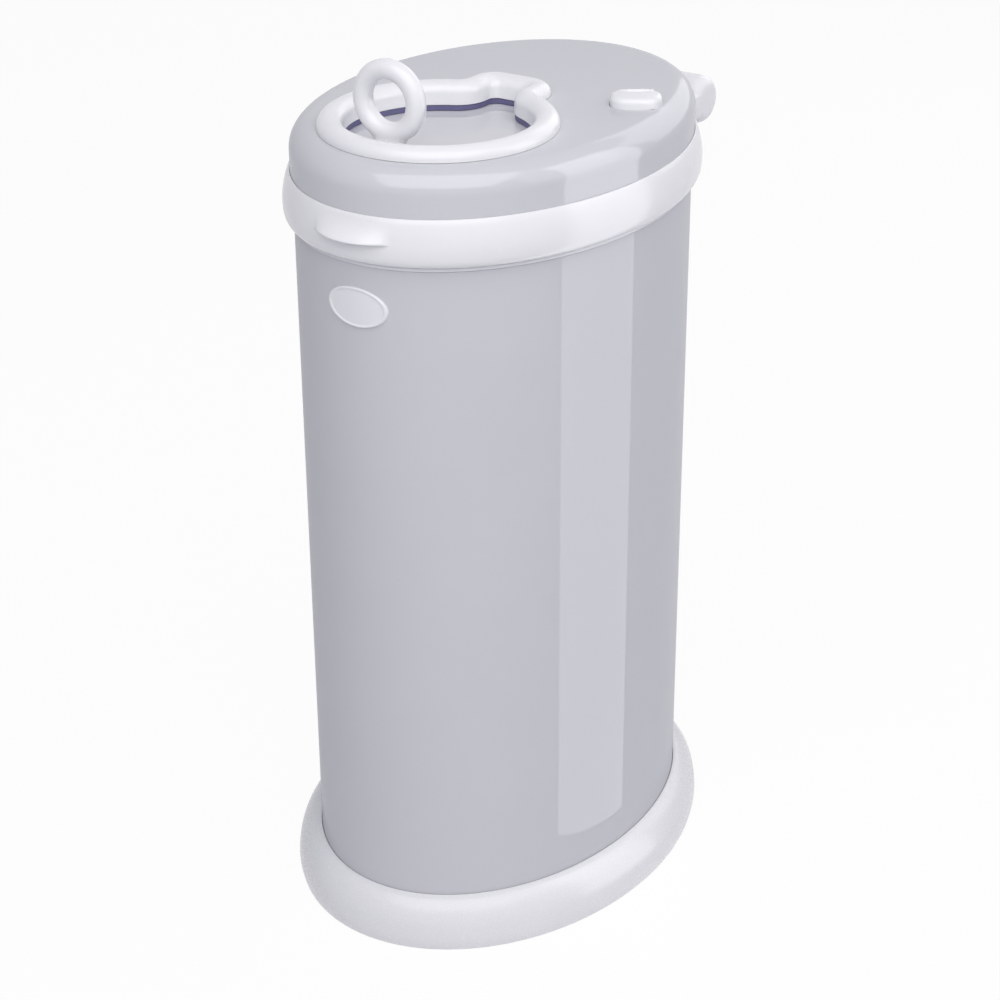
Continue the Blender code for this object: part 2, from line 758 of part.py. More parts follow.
def body_shell():
    bottom = LEDGE_TOP + GAP
    wall = flat_curve("body_shell", oval(0.0))
    wall.data.extrude = (SHELL_TOP - bottom) / 2
    wall.location.z = (SHELL_TOP + bottom) / 2
    bpy.context.view_layer.update()
    shell = to_mesh_object(wall)
    thickness = shell.modifiers.new("sheet", "SOLIDIFY")
    thickness.thickness = SHELL_WALL
    thickness.offset = -1.0
    thickness.use_even_offset = True
    cut(shell, rivet_holes("shell_rivet_holes"))
    return finish(shell, PAINTED_GREY, 0.3)


def badge():
    half_width = BADGE_WIDTH / 2
    half_height = BADGE_HEIGHT / 2
    plate = sweep("badge", oval(0.0), [
        (GAP, BADGE_Z - BADGE_HEIGHT), (GAP + BADGE_THICKNESS, BADGE_Z - BADGE_HEIGHT),
        (GAP + BADGE_THICKNESS, BADGE_Z + BADGE_HEIGHT), (GAP, BADGE_Z + BADGE_HEIGHT),
    ])
    outline = rounded_oblong(0.0, BADGE_Z, half_width, half_height, 2.0, 0.0, CIRCLE_STEPS)
    window = bar_along_y("badge_outline", outline, -SHELL_LENGTH, 0.0)
    keep_inside(plate, window)
    return finish(plate, WHITE, 0.25)


# Collar and bag ring

def top_collar():
    wall = -SHELL_WALL - GAP
    inner = wall - COLLAR_WALL
    bottom = SHELL_TOP - COLLAR_DEPTH
    ledge_bottom = COLLAR_LEDGE_TOP - COLLAR_LEDGE_THICKNESS
    section = [
        (inner, bottom), (wall, bottom), (wall, SHELL_TOP + GAP), (COLLAR_LIP, SHELL_TOP + GAP),
        (COLLAR_LIP, COLLAR_TOP), (inner, COLLAR_TOP), (inner, COLLAR_LEDGE_TOP),
        (inner - COLLAR_LEDGE_REACH, COLLAR_LEDGE_TOP), (inner - COLLAR_LEDGE_REACH, ledge_bottom),
        (inner, ledge_bottom - COLLAR_LEDGE_REACH),
    ]
    return finish(sweep("top_collar", oval(0.0), section), WHITE, 0.35)


def bag_ring():
    outer = -SHELL_WALL - GAP - COLLAR_WALL - GAP
    foot = COLLAR_LEDGE_TOP + GAP
    inner_deck = outer - BAG_RING_WALL - BAG_RING_DECK
    throat = inner_deck - BAG_RING_WALL
    deck_bottom = BAG_RING_TOP - BAG_RING_WALL
    section = [
        (outer - BAG_RING_WALL, foot), (outer, foot), (outer, BAG_RING_TOP),
        (inner_deck, BAG_RING_TOP - BAG_RING_FALL),
        (throat, BAG_RING_TOP - BAG_RING_FALL - BAG_RING_WALL),
        (throat, BAG_RING_TOP - BAG_RING_FALL - BAG_RING_THROAT),
        (inner_deck, BAG_RING_TOP - BAG_RING_FALL - BAG_RING_THROAT),
        (inner_deck, deck_bottom - BAG_RING_FALL),
        (outer - BAG_RING_WALL, deck_bottom),
    ]
    ring = sweep("bag_ring", oval(0.0), section)
    middle = SHELL_WIDTH / 2 + outer - BAG_RING_WALL - BAG_RING_DECK / 2
    for side, x in (("left", -middle), ("right", middle)):
        outline = rounded_oblong(
            x, 0.0, GRIP_LENGTH / 2, GRIP_WIDTH / 2, STEM_EXPONENT, 90.0, BUTTON_STEPS,
        )
        grip = prism(f"grip_{side}", outline, foot, BAG_RING_TOP + OVERRUN)
        cut(ring, grip)
    return finish(ring, WHITE, 0.35)


# Lid

def band_section():
    outer = outer_line(BAND_CURVE_SHARES, BAND_BULGE, PARTING_Z, BAND_HEIGHT)
    inner = skin_line(outer, BAND_SKIN)
    shelf_bottom = SHELF_TOP - SHELF_THICKNESS
    flange_top = PARTING_Z + FLANGE_THICKNESS
    seat = COVER_OFFSET + GAP
    return [(-FLANGE_REACH, PARTING_Z)] + outer + [
        (seat, BAND_TOP), (seat, SHELF_TOP), (-SHELF_REACH, SHELF_TOP), (-SHELF_REACH, shelf_bottom),
    ] + stretch(inner, flange_top, shelf_bottom)[::-1] + [(-FLANGE_REACH, flange_top)]


def lid_frame():
    frame = sweep("lid_frame", oval(0.0), band_section())
    join(frame, thumb_lip())
    join(frame, hinge_hump())
    cut(frame, hinge_passage())
    pocket = rod_along_x(
        "knuckle_pocket", POCKET_RADIUS, -COWL_HALF_LENGTH, COWL_HALF_LENGTH, HINGE_Y, HINGE_Z,
    )
    cut(frame, pocket)
    bore = rod_along_x(
        "hinge_bore", PIN_RADIUS + GAP, -BARREL_HALF_LENGTH - OVERRUN,
        PIN_HALF_LENGTH + GAP, HINGE_Y, HINGE_Z, BORE_STEPS,
    )
    cut(frame, bore)
    for number, angle in enumerate(LID_SCREW_ANGLES, 1):
        (x, y), _ = on_oval(angle, -LID_SCREW_INSET)
        recess_top = PARTING_Z + GAP + LID_SCREW_HEAD_HEIGHT + GAP
        cut(frame, cylinder(
            f"lid_screw_recess_{number}", LID_SCREW_HEAD_RADIUS + GAP,
            PARTING_Z - OVERRUN, recess_top, x, y, SCREW_STEPS,
        ))
        cut(frame, cylinder(
            f"lid_screw_hole_{number}", LID_SCREW_RADIUS + GAP,
            PARTING_Z, PANEL_TOP, x, y, SCREW_STEPS,
        ))
    return finish(frame, WHITE, 0.28)


def thumb_lip():
    """A flared disc: its front stands out of the band and slopes back up into it."""
    front = SHELL_LENGTH / 2 + BAND_BULGE
    half = LIP_WIDTH / 2
    drop = front * (1 - math.sqrt(1 - (half / (SHELL_WIDTH / 2 + BAND_BULGE)) ** 2))
    sagitta = LIP_REACH + drop
    radius = (half ** 2 + sagitta ** 2) / (2 * sagitta)
    edge = PARTING_Z + LIP_EDGE_SHARE * BAND_HEIGHT
    disc = turned("thumb_lip", [
        (0.0, edge + LIP_RISE), (radius - LIP_SLOPE, edge + LIP_RISE),
        (radius, edge), (radius, edge - LIP_EDGE), (0.0, edge - LIP_EDGE),
    ], LIP_STEPS)
    disc.location.y = radius - front - LIP_REACH
    inside = prism("lip_inside", oval(BAND_BULGE / 2), PARTING_Z, BAND_TOP)
    return cut(disc, inside)


def hinge_hump():
    """The barrel on the hinge axis and the web that ties it to the band."""
    barrel = rod_along_x(
        "hinge_hump", BARREL_RADIUS, -BARREL_HALF_LENGTH, BARREL_HALF_LENGTH, HINGE_Y, HINGE_Z,
    )
    rounding = barrel.modifiers.new("rounded_ends", "BEVEL")
    rounding.limit_method = "ANGLE"
    rounding.angle_limit = math.radians(60.0)
    rounding.width = BARREL_ROUND
    rounding.segments = 4
    web = box(
        "hinge_web",
        (-WEB_HALF_LENGTH, WEB_FRONT_Y, HINGE_Z - WEB_BELOW_AXIS),
        (WEB_HALF_LENGTH, HINGE_Y, HINGE_Z + WEB_ABOVE_AXIS),
    )
    join(barrel, web)
    lid_space = prism(
        "hump_inside", oval(BAND_BULGE - BAND_SKIN / 2 - GAP), PARTING_Z, SHELF_TOP + GAP,
    )
    cut(barrel, lid_space)
    cut(barrel, prism("cover_space", oval(COVER_OFFSET + GAP * 2), SHELF_TOP, COVER_TOP + OVERRUN))
    return barrel


def hinge_passage():
    """Room under the cowl for the bracket's arm and knuckle."""
    room = box(
        "hinge_passage",
        (-COWL_HALF_LENGTH, WEB_FRONT_Y, PARTING_Z - OVERRUN),
        (COWL_HALF_LENGTH, HINGE_Y + BARREL_RADIUS + OVERRUN, HINGE_Z),
    )
    kept = prism("passage_inside", oval(-POCKET_INSET), PARTING_Z - OVERRUN * 2, BAND_TOP + OVERRUN)
    return cut(room, kept)


def lid_cover():
    cover = prism("lid_cover", oval(COVER_OFFSET), COVER_BOTTOM, COVER_TOP)
    round_edges_at(cover, COVER_TOP, COVER_EDGE_RADIUS, EDGE_SEGMENTS)
    inside = prism(
        "cover_inside", oval(COVER_OFFSET - COVER_WALL), COVER_BOTTOM - OVERRUN, COVER_INNER_TOP,
    )
    round_edges_at(inside, COVER_INNER_TOP, COVER_EDGE_RADIUS - COVER_WALL, EDGE_SEGMENTS)
    cut(cover, inside)
    cut(cover, prism("mouth_hole", keyhole(BEZEL_NECK - GAP), COVER_BOTTOM, COVER_TOP + OVERRUN))
    hole = button_outline(BUTTON_HOLE_GAP)
    cut(cover, prism("button_hole", hole, COVER_BOTTOM, COVER_TOP + OVERRUN))
    return finish(cover, PAINTED_GREY, 0.22)


def opening_bezel():
    foot = COVER_TOP + GAP
    half = RIM_WIDTH / 2
    crest = RIM_HEIGHT - GAP
    arch = []
    for step in range(RIM_ARC_STEPS + 1):
        angle = math.pi * step / RIM_ARC_STEPS
        arch.append((-half + half * math.cos(angle), foot + crest * math.sin(angle)))
    wall = -RIM_WIDTH + BEZEL_WALL
    bead_top = COVER_INNER_TOP - GAP
    section = [
        (-RIM_WIDTH, BEZEL_BOTTOM), (wall, BEZEL_BOTTOM),
        (wall, bead_top - BEZEL_BEAD_HEIGHT), (-BEZEL_BEAD, bead_top - BEZEL_BEAD_HEIGHT),
        (-BEZEL_BEAD, bead_top), (-BEZEL_NECK, bead_top), (-BEZEL_NECK, foot),
    ] + arch
    return finish(sweep("opening_bezel", keyhole(0.0), section), WHITE, 0.22)


def door_seal():
    outer = -RIM_WIDTH + BEZEL_WALL - GAP
    inner = -RIM_WIDTH + DOOR_SEAL_INSET
    bottom = DOOR_TOP + GAP
    top = BEZEL_BOTTOM - GAP
    section = [(inner, bottom), (outer, bottom), (outer, top), (inner, top)]
    return finish(sweep("door_seal", keyhole(0.0), section), SEAL_GREY, 0.6)


def inner_lid_panel():
    panel = prism("inner_lid_panel", oval(PANEL_EDGE), PANEL_BOTTOM, PANEL_TOP)
    throat = cylinder(
        "throat_wall", THROAT_RADIUS + THROAT_WALL, PANEL_BOTTOM, DOOR_BOTTOM - GAP, 0.0, MOUTH_Y,
    )
    join(panel, throat)
    cut(panel, cylinder(
        "throat_bore", THROAT_RADIUS, PANEL_BOTTOM - OVERRUN, DOOR_TOP, 0.0, MOUTH_Y,
    ))
    for number, angle in enumerate(LID_SCREW_ANGLES, 1):
        (x, y), _ = on_oval(angle, -LID_SCREW_INSET)
        join(panel, cylinder(
            f"panel_boss_{number}", PANEL_BOSS_RADIUS,
            PANEL_BOTTOM + PANEL_THICKNESS / 2, PANEL_TOP + PANEL_BOSS_HEIGHT, x, y, BORE_STEPS,
        ))
    for number, angle in enumerate(LID_SCREW_ANGLES, 1):
        (x, y), _ = on_oval(angle, -LID_SCREW_INSET)
        cut(panel, cylinder(
            f"panel_screw_hole_{number}", LID_SCREW_RADIUS + GAP,
            PARTING_Z, PANEL_TOP + PANEL_BOSS_HEIGHT + OVERRUN, x, y, SCREW_STEPS,
        ))
    cut(panel, mount_screw_holes("panel_mount_holes"))
    return finish(panel, WHITE, 0.4)


def lid_seal():
    outer = -LID_SEAL_OFFSET
    inner = outer - LID_SEAL_WIDTH
    bottom = BAG_RING_TOP + GAP
    top = PANEL_BOTTOM - GAP
    section = [(inner, bottom), (outer, bottom), (outer, top), (inner, top)]
    return finish(sweep("lid_seal", oval(0.0), section), DARK_RUBBER, 0.7)


def lid_screws():
    bottom = PARTING_Z + GAP
    shoulder = bottom + LID_SCREW_HEAD_HEIGHT
    top = PANEL_TOP + PANEL_BOSS_HEIGHT
    screw = turned("lid_screw_pattern", [
        (0.0, top), (LID_SCREW_RADIUS, top), (LID_SCREW_RADIUS, shoulder),
        (LID_SCREW_HEAD_RADIUS, shoulder), (LID_SCREW_HEAD_RADIUS, bottom), (0.0, bottom),
    ], SCREW_STEPS)
    finish(screw, BRIGHT_STEEL, 0.35, 1.0)
    spots = [on_oval(angle, -LID_SCREW_INSET)[0] for angle in LID_SCREW_ANGLES]
    return copies("lid_screw", screw, [Matrix.Translation((x, y, 0.0)) for x, y in spots])


# Door, its handle and its rails

def slide_door():
    door = prism("slide_door", stadium(DOOR_RADIUS, MOUTH_Y, DOOR_REAR_Y), DOOR_BOTTOM, DOOR_TOP)
    round_edges_at(door, DOOR_TOP, DOOR_EDGE_ROUND, 1)
    for number, x in enumerate(handle_screw_places(), 1):
        recess_top = DOOR_BOTTOM + GAP + HANDLE_SCREW_HEAD_HEIGHT + GAP
        cut(door, cylinder(
            f"handle_screw_recess_{number}", HANDLE_SCREW_HEAD_RADIUS + GAP,
            DOOR_BOTTOM - OVERRUN, recess_top, x, HANDLE_Y, SCREW_STEPS,
        ))
        cut(door, cylinder(
            f"handle_screw_hole_{number}", HANDLE_SCREW_RADIUS + GAP,
            DOOR_BOTTOM, DOOR_TOP + OVERRUN, x, HANDLE_Y, SCREW_STEPS,
        ))
    return finish(door, PAINTED_GREY, 0.18)


def handle_screw_places():
    return (-HANDLE_SCREW_SPACING / 2, HANDLE_SCREW_SPACING / 2)


def ring_handle():
    bpy.ops.mesh.primitive_torus_add(
        major_radius=HANDLE_RING_RADIUS, minor_radius=HANDLE_TUBE_RADIUS,
        major_segments=RING_STEPS, minor_segments=TUBE_STEPS,
        location=(0.0, HANDLE_Y, HANDLE_CENTRE_Z), rotation=(math.radians(90.0), 0.0, 0.0),
    )
    ring = bpy.context.active_object
    ring.name = "ring_handle"
    for collection in list(ring.users_collection):
        collection.objects.unlink(ring)
    PARTS.objects.link(ring)
    outline = rounded_oblong(
        0.0, HANDLE_Y, STEM_HALF_WIDTH, STEM_HALF_DEPTH, STEM_EXPONENT, 0.0, BUTTON_STEPS,
    )
    stem_top = HANDLE_CENTRE_Z - HANDLE_RING_RADIUS + HANDLE_TUBE_RADIUS / 2
    join(ring, prism("handle_stem", outline, DOOR_TOP + GAP, stem_top))
    for number, x in enumerate(handle_screw_places(), 1):
        cut(ring, cylinder(
            f"handle_socket_{number}", HANDLE_SCREW_RADIUS + GAP,
            DOOR_TOP - OVERRUN, DOOR_TOP + HANDLE_SCREW_LENGTH, x, HANDLE_Y, SCREW_STEPS,
        ))
    return finish(ring, WHITE, 0.2)


def handle_screws():
    bottom = DOOR_BOTTOM + GAP
    shoulder = bottom + HANDLE_SCREW_HEAD_HEIGHT
    top = DOOR_TOP + HANDLE_SCREW_LENGTH - GAP
    screw = turned("handle_screw_pattern", [
        (0.0, top), (HANDLE_SCREW_RADIUS, top), (HANDLE_SCREW_RADIUS, shoulder),
        (HANDLE_SCREW_HEAD_RADIUS, shoulder), (HANDLE_SCREW_HEAD_RADIUS, bottom), (0.0, bottom),
    ], SCREW_STEPS)
    finish(screw, BRIGHT_STEEL, 0.35, 1.0)
    places = [Matrix.Translation((x, HANDLE_Y, 0.0)) for x in handle_screw_places()]
    return copies("handle_screw", screw, places)


def rail_section(side):
    """The right rail's outline in X and Z, or its mirror image for the left."""
    web = RAIL_INNER_X
    support_top = DOOR_BOTTOM - GAP
    hook_bottom = DOOR_TOP + GAP
    outline = [
        (web, MOUNT_Z), (RAIL_OUTER_X, MOUNT_Z),
        (RAIL_OUTER_X, MOUNT_Z + RAIL_FOOT_THICKNESS),
        (web + RAIL_WEB, MOUNT_Z + RAIL_FOOT_THICKNESS),
        (web + RAIL_WEB, hook_bottom + RAIL_HOOK_THICKNESS),
        (web - RAIL_HOOK_REACH, hook_bottom + RAIL_HOOK_THICKNESS),
        (web - RAIL_HOOK_REACH, hook_bottom), (web, hook_bottom), (web, support_top),
        (web - RAIL_SUPPORT_REACH, support_top),
        (web - RAIL_SUPPORT_REACH, support_top - RAIL_SUPPORT_THICKNESS),
        (web, support_top - RAIL_SUPPORT_THICKNESS),
    ]
    return [(side * x, z) for x, z in outline]


def door_rails():
    left = bar_along_y("door_rail_left", rail_section(-1), RAIL_FRONT_Y, RAIL_REAR_Y)
    right = bar_along_y("door_rail_right", rail_section(1), RAIL_FRONT_Y, RAIL_REAR_Y)
    for rail in (left, right):
        cut(rail, mount_screw_holes(f"{rail.name}_holes"))
    web = RAIL_INNER_X
    cut(right, box(
        "latch_gap",
        (web - RAIL_HOOK_REACH - OVERRUN, LATCH_GAP_Y - LATCH_GAP_LENGTH / 2, DOOR_BOTTOM - GAP),
        (web + RAIL_WEB + OVERRUN, LATCH_GAP_Y + LATCH_GAP_LENGTH / 2, COVER_TOP),
    ))
    cut(right, box(
        "housing_gap",
        (web + RAIL_WEB, LOCK_Y - HOUSING_FOOT_RADIUS - GAP, PANEL_TOP),
        (LOCK_X + HOUSING_FOOT_RADIUS, LOCK_Y + HOUSING_FOOT_RADIUS + GAP, DOOR_BOTTOM),
    ))
    return [finish(rail, WHITE, 0.4) for rail in (left, right)]


def mount_screw_spots():
    """Where screws come up through the panel into the rails and the lock housing."""
    foot = RAIL_OUTER_X - RAIL_FOOT_WIDTH / 2
    spots = [(side * foot, y) for side in (-1, 1) for y in RAIL_SCREW_PLACES_Y]
    reach = (HOUSING_RADIUS + HOUSING_FOOT_RADIUS) / 2
    return spots + [(LOCK_X, LOCK_Y - reach), (LOCK_X, LOCK_Y + reach)]


def mount_screw_holes(name):
    hole = cylinder(
        f"{name}_pattern", PANEL_SCREW_RADIUS + GAP,
        PANEL_BOTTOM - OVERRUN, MOUNT_Z + RAIL_FOOT_THICKNESS + OVERRUN, steps=SCREW_STEPS,
    )
    bpy.context.view_layer.update()
    height = hole.location.z
    places = [Matrix.Translation((x, y, height)) for x, y in mount_screw_spots()]
    return hole_pattern(name, hole, places)


def panel_screws():
    head_top = PANEL_BOTTOM - GAP
    top = MOUNT_Z + RAIL_FOOT_THICKNESS
    screw = turned("panel_screw_pattern", [
        (0.0, top), (PANEL_SCREW_RADIUS, top), (PANEL_SCREW_RADIUS, head_top),
        (PANEL_SCREW_HEAD_RADIUS, head_top),
        (PANEL_SCREW_HEAD_RADIUS, head_top - PANEL_SCREW_HEAD_HEIGHT),
        (0.0, head_top - PANEL_SCREW_HEAD_HEIGHT),
    ], SCREW_STEPS)
    finish(screw, BRIGHT_STEEL, 0.35, 1.0)
    places = [Matrix.Translation((x, y, 0.0)) for x, y in mount_screw_spots()]
    return copies("panel_screw", screw, places)


# Lock

def button_outline(offset):
    return rounded_oblong(
        LOCK_X, LOCK_Y, BUTTON_HALF_LENGTH + offset, BUTTON_HALF_WIDTH + offset,
        BUTTON_EXPONENT, LOCK_TURN, BUTTON_STEPS,
    )


def lock_button():
    bottom = PLUNGER_TOP + GAP
    top = COVER_TOP + BUTTON_RISE
    button = prism("lock_button", button_outline(0.0), bottom, top)
    round_edges_at(button, top, BUTTON_ROUND, EDGE_SEGMENTS)
    flange = prism(
        "button_flange", button_outline(BUTTON_FLANGE_REACH), bottom, bottom + BUTTON_FLANGE_HEIGHT,
    )
    join(button, flange)
    cut(button, cylinder(
        "button_socket", PLUNGER_PEG_RADIUS + GAP, bottom - OVERRUN,
        PLUNGER_TOP + PLUNGER_PEG_LENGTH + GAP, LOCK_X, LOCK_Y, BORE_STEPS,
    ))
    return finish(button, WHITE, 0.25)


def lock_plunger():
    hub = turned("lock_plunger", [
        (0.0, PLUNGER_TOP + PLUNGER_PEG_LENGTH), (PLUNGER_PEG_RADIUS, PLUNGER_TOP + PLUNGER_PEG_LENGTH),
        (PLUNGER_PEG_RADIUS, PLUNGER_TOP), (PLUNGER_HUB_RADIUS, PLUNGER_TOP),
        (PLUNGER_HUB_RADIUS, PLUNGER_HUB_BOTTOM), (PLUNGER_STEM_RADIUS, PLUNGER_HUB_BOTTOM),
        (PLUNGER_STEM_RADIUS, PLUNGER_HUB_BOTTOM - PLUNGER_STEM_LENGTH),
        (0.0, PLUNGER_HUB_BOTTOM - PLUNGER_STEM_LENGTH),
    ], BORE_STEPS)
    hub.location = (LOCK_X, LOCK_Y, 0.0)
    arm = box(
        "latch_arm",
        (-LATCH_ARM_LENGTH / 2, -LATCH_ARM_WIDTH / 2, PLUNGER_HUB_BOTTOM),
        (LATCH_ARM_LENGTH / 2, LATCH_ARM_WIDTH / 2, PLUNGER_TOP),
    )
    arm.location.x = (LOCK_X + LATCH_X) / 2
    arm.location.y = (LOCK_Y + LATCH_Y) / 2
    arm.rotation_euler.z = math.atan(LATCH_ARM_SLOPE)
    join(hub, arm)
    join(hub, cylinder(
        "latch_nose", LATCH_RADIUS, DOOR_TOP + LATCH_NOSE_GAP, PLUNGER_TOP,
        LATCH_X, LATCH_Y, BORE_STEPS,
    ))
    return finish(hub, BRIGHT_STEEL, 0.4)


def lock_spring():
    """A coil between the housing's cup and the plunger's hub."""
    low = CUP_FLOOR + GAP + SPRING_WIRE
    high = PLUNGER_HUB_BOTTOM - GAP - SPRING_WIRE
    curve = bpy.data.curves.new("lock_spring", "CURVE")
    curve.dimensions = "3D"
    curve.bevel_depth = SPRING_WIRE
    curve.bevel_resolution = 2
    curve.use_fill_caps = True
    spline = curve.splines.new("POLY")
    count = SPRING_TURNS * SPRING_STEPS
    spline.points.add(count)
    for step, point in enumerate(spline.points):
        angle = math.tau * step / SPRING_STEPS
        point.co = (
            SPRING_RADIUS * math.cos(angle), SPRING_RADIUS * math.sin(angle),
            low + (high - low) * step / count, 1.0,
        )
    spring = bpy.data.objects.new("lock_spring", curve)
    PARTS.objects.link(spring)
    spring.location = (LOCK_X, LOCK_Y, 0.0)
    bpy.context.view_layer.update()
    return finish(to_mesh_object(spring), BRIGHT_STEEL, 0.3, 1.0)


def lock_housing():
    bore = HOUSING_RADIUS - HOUSING_WALL
    foot_top = MOUNT_Z + RAIL_FOOT_THICKNESS
    housing = turned("lock_housing", [
        (0.0, CUP_FLOOR), (bore, CUP_FLOOR), (bore, HOUSING_TOP), (HOUSING_RADIUS, HOUSING_TOP),
        (HOUSING_RADIUS, foot_top), (HOUSING_FOOT_RADIUS, foot_top), (HOUSING_FOOT_RADIUS, MOUNT_Z),
        (bore, MOUNT_Z), (bore, CUP_FLOOR - HOUSING_FLOOR), (0.0, CUP_FLOOR - HOUSING_FLOOR),
    ], BORE_STEPS * 2)
    housing.location = (LOCK_X, LOCK_Y, 0.0)
    housing.rotation_euler.z = math.pi / (BORE_STEPS * 2)
    cut(housing, mount_screw_holes("housing_mount_holes"))
    return finish(housing, WHITE, 0.4)


# Hinge

def rivet_places():
    """Rivets stand square to the shell, with their own Z pointing outward."""
    places = []
    for height in RIVET_HEIGHTS:
        for angle in RIVET_ANGLES:
            point, outward = on_facet(angle)
            turn = math.atan2(outward.y, outward.x)
            lift = Matrix.Translation((point.x, point.y, height))
            places.append(lift @ Matrix.Rotation(turn, 4, "Z") @ Matrix.Rotation(math.pi / 2, 4, "Y"))
    return places


def rivet_holes(name):
    reach = BRACKET_PLATE + OVERRUN
    return hole_pattern(
        name,
        cylinder(f"{name}_pattern", RIVET_RADIUS + GAP, -reach, reach, steps=SCREW_STEPS),
        rivet_places(),
    )


def bracket_rivets():
    outer = GAP + BRACKET_PLATE + GAP
    inner = -SHELL_WALL - GAP
    rivet = turned("bracket_rivet_pattern", [
        (0.0, outer + RIVET_HEAD_HEIGHT), (RIVET_HEAD_RADIUS, outer + RIVET_HEAD_HEIGHT),
        (RIVET_HEAD_RADIUS, outer), (RIVET_RADIUS, outer), (RIVET_RADIUS, inner),
        (RIVET_HEAD_RADIUS, inner), (RIVET_HEAD_RADIUS, inner - RIVET_HEAD_HEIGHT),
        (0.0, inner - RIVET_HEAD_HEIGHT),
    ], SCREW_STEPS)
    finish(rivet, BRIGHT_STEEL, 0.35, 1.0)
    return copies("bracket_rivet", rivet, rivet_places())


def hinge_bracket():
    """A plate on the shell's back that rises through the lid frame to the knuckle."""
    half = COWL_HALF_LENGTH - GAP * 2
    top = COLLAR_TOP - GAP
    bracket = sweep("hinge_bracket", oval(0.0), [
        (GAP, BRACKET_BOTTOM_Z), (GAP + BRACKET_PLATE, BRACKET_BOTTOM_Z),
        (GAP + BRACKET_PLATE, SHELL_TOP), (GAP, SHELL_TOP),
    ])
    keep_inside(bracket, box(
        "bracket_width", (-half, 0.0, BRACKET_BOTTOM_Z - OVERRUN), (half, REAR_REACH, top),
    ))
    gusset = box(
        "bracket_gusset",
        (-half, WEB_FRONT_Y, BRACKET_GUSSET_Z), (half, BRACKET_ARM_REAR_Y, SHELL_TOP),
    )
    cut(gusset, prism("shell_space", oval(GAP), BRACKET_GUSSET_Z - OVERRUN, PARTING_Z))
    join(bracket, gusset)
    join(bracket, box(
        "bracket_arm",
        (-half, BRACKET_ARM_FRONT_Y, (BRACKET_GUSSET_Z + SHELL_TOP) / 2),
        (half, BRACKET_ARM_REAR_Y, HINGE_Z),
    ))
    join(bracket, rod_along_x("bracket_knuckle", KNUCKLE_RADIUS, -half, half, HINGE_Y, HINGE_Z))
    cut(bracket, rod_along_x(
        "bracket_bore", PIN_RADIUS + GAP, -half - OVERRUN, half + OVERRUN,
        HINGE_Y, HINGE_Z, BORE_STEPS,
    ))
    cut(bracket, rivet_holes("bracket_rivet_holes"))
    return finish(bracket, WHITE, 0.35)


def hinge_pin():
    pin = rod_along_x(
        "hinge_pin", PIN_RADIUS, -PIN_HALF_LENGTH, PIN_HALF_LENGTH, HINGE_Y, HINGE_Z, BORE_STEPS,
    )
    return finish(pin, BRIGHT_STEEL, 0.25, 1.0)


def hinge_cap():
    """A plug that closes the bore at the barrel's left end."""
    face = BARREL_HALF_LENGTH + GAP
    cap = turned("hinge_cap", [
        (0.0, face + CAP_THICKNESS), (CAP_RADIUS, face + CAP_THICKNESS), (CAP_RADIUS, face),
        (PIN_RADIUS, face), (PIN_RADIUS, face - CAP_PLUG_LENGTH), (0.0, face - CAP_PLUG_LENGTH),
    ], BORE_STEPS)
    cap.location = (0.0, HINGE_Y, HINGE_Z)
    cap.rotation_euler.y = math.radians(-90.0)
    return finish(cap, WHITE, 0.28)


# Assembly

def pivot(name, place, parent=None):
    """An empty on a joint's axis, given in the shell's own frame."""
    empty = bpy.data.objects.new(name, None)
    PARTS.objects.link(empty)
    empty.location = place
    if parent is not None:
        empty.parent = parent
    return empty


def hang(parts, carrier, carrier_place):
    """Parent pieces to a carrier without moving them in the shell's frame."""
    for piece in parts:
        piece.parent = carrier
        piece.matrix_parent_inverse = Matrix.Translation(-Vector(carrier_place))


def build():
    body_parts = [
        base_rim(), bottom_plate(), *base_screws(), *rubber_feet(), body_shell(), badge(),
        top_collar(), bag_ring(), hinge_bracket(), *bracket_rivets(), hinge_pin(),
    ]
    lid_parts = [
        lid_frame(), lid_cover(), opening_bezel(), door_seal(), inner_lid_panel(), lid_seal(),
        *lid_screws(), *door_rails(), *panel_screws(), lock_housing(), lock_spring(), hinge_cap(),
    ]
    door_parts = [slide_door(), ring_handle(), *handle_screws()]
    lock_parts = [lock_button(), lock_plunger()]

    hinge_place = Vector((0.0, HINGE_Y, HINGE_Z))
    door_place = Vector((0.0, MOUTH_Y, DOOR_BOTTOM))
    lock_place = Vector((LOCK_X, LOCK_Y, PLUNGER_TOP))
    bin_axis = pivot("bin_axis", (0.0, AXIS_Y, 0.0))
    lid_axis = pivot("lid_axis", hinge_place, bin_axis)
    door_axis = pivot("door_axis", door_place - hinge_place, lid_axis)
    lock_axis = pivot("lock_axis", lock_place - hinge_place, lid_axis)
    hang(body_parts, bin_axis, (0.0, 0.0, 0.0))
    hang(lid_parts, lid_axis, hinge_place)
    hang(door_parts, door_axis, door_place)
    hang(lock_parts, lock_axis, lock_place)
    hang(list(CUTTERS.objects), bin_axis, (0.0, 0.0, 0.0))


build()
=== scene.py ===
"""Looks of the oval steel nappy bin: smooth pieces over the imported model, finishes, floor and lamps.

Lengths are in metres, +Z is up, the bin's front faces -Y and its lock button is on the +X side.
"""
import math

import bmesh
import bpy
from mathutils import Matrix, Vector

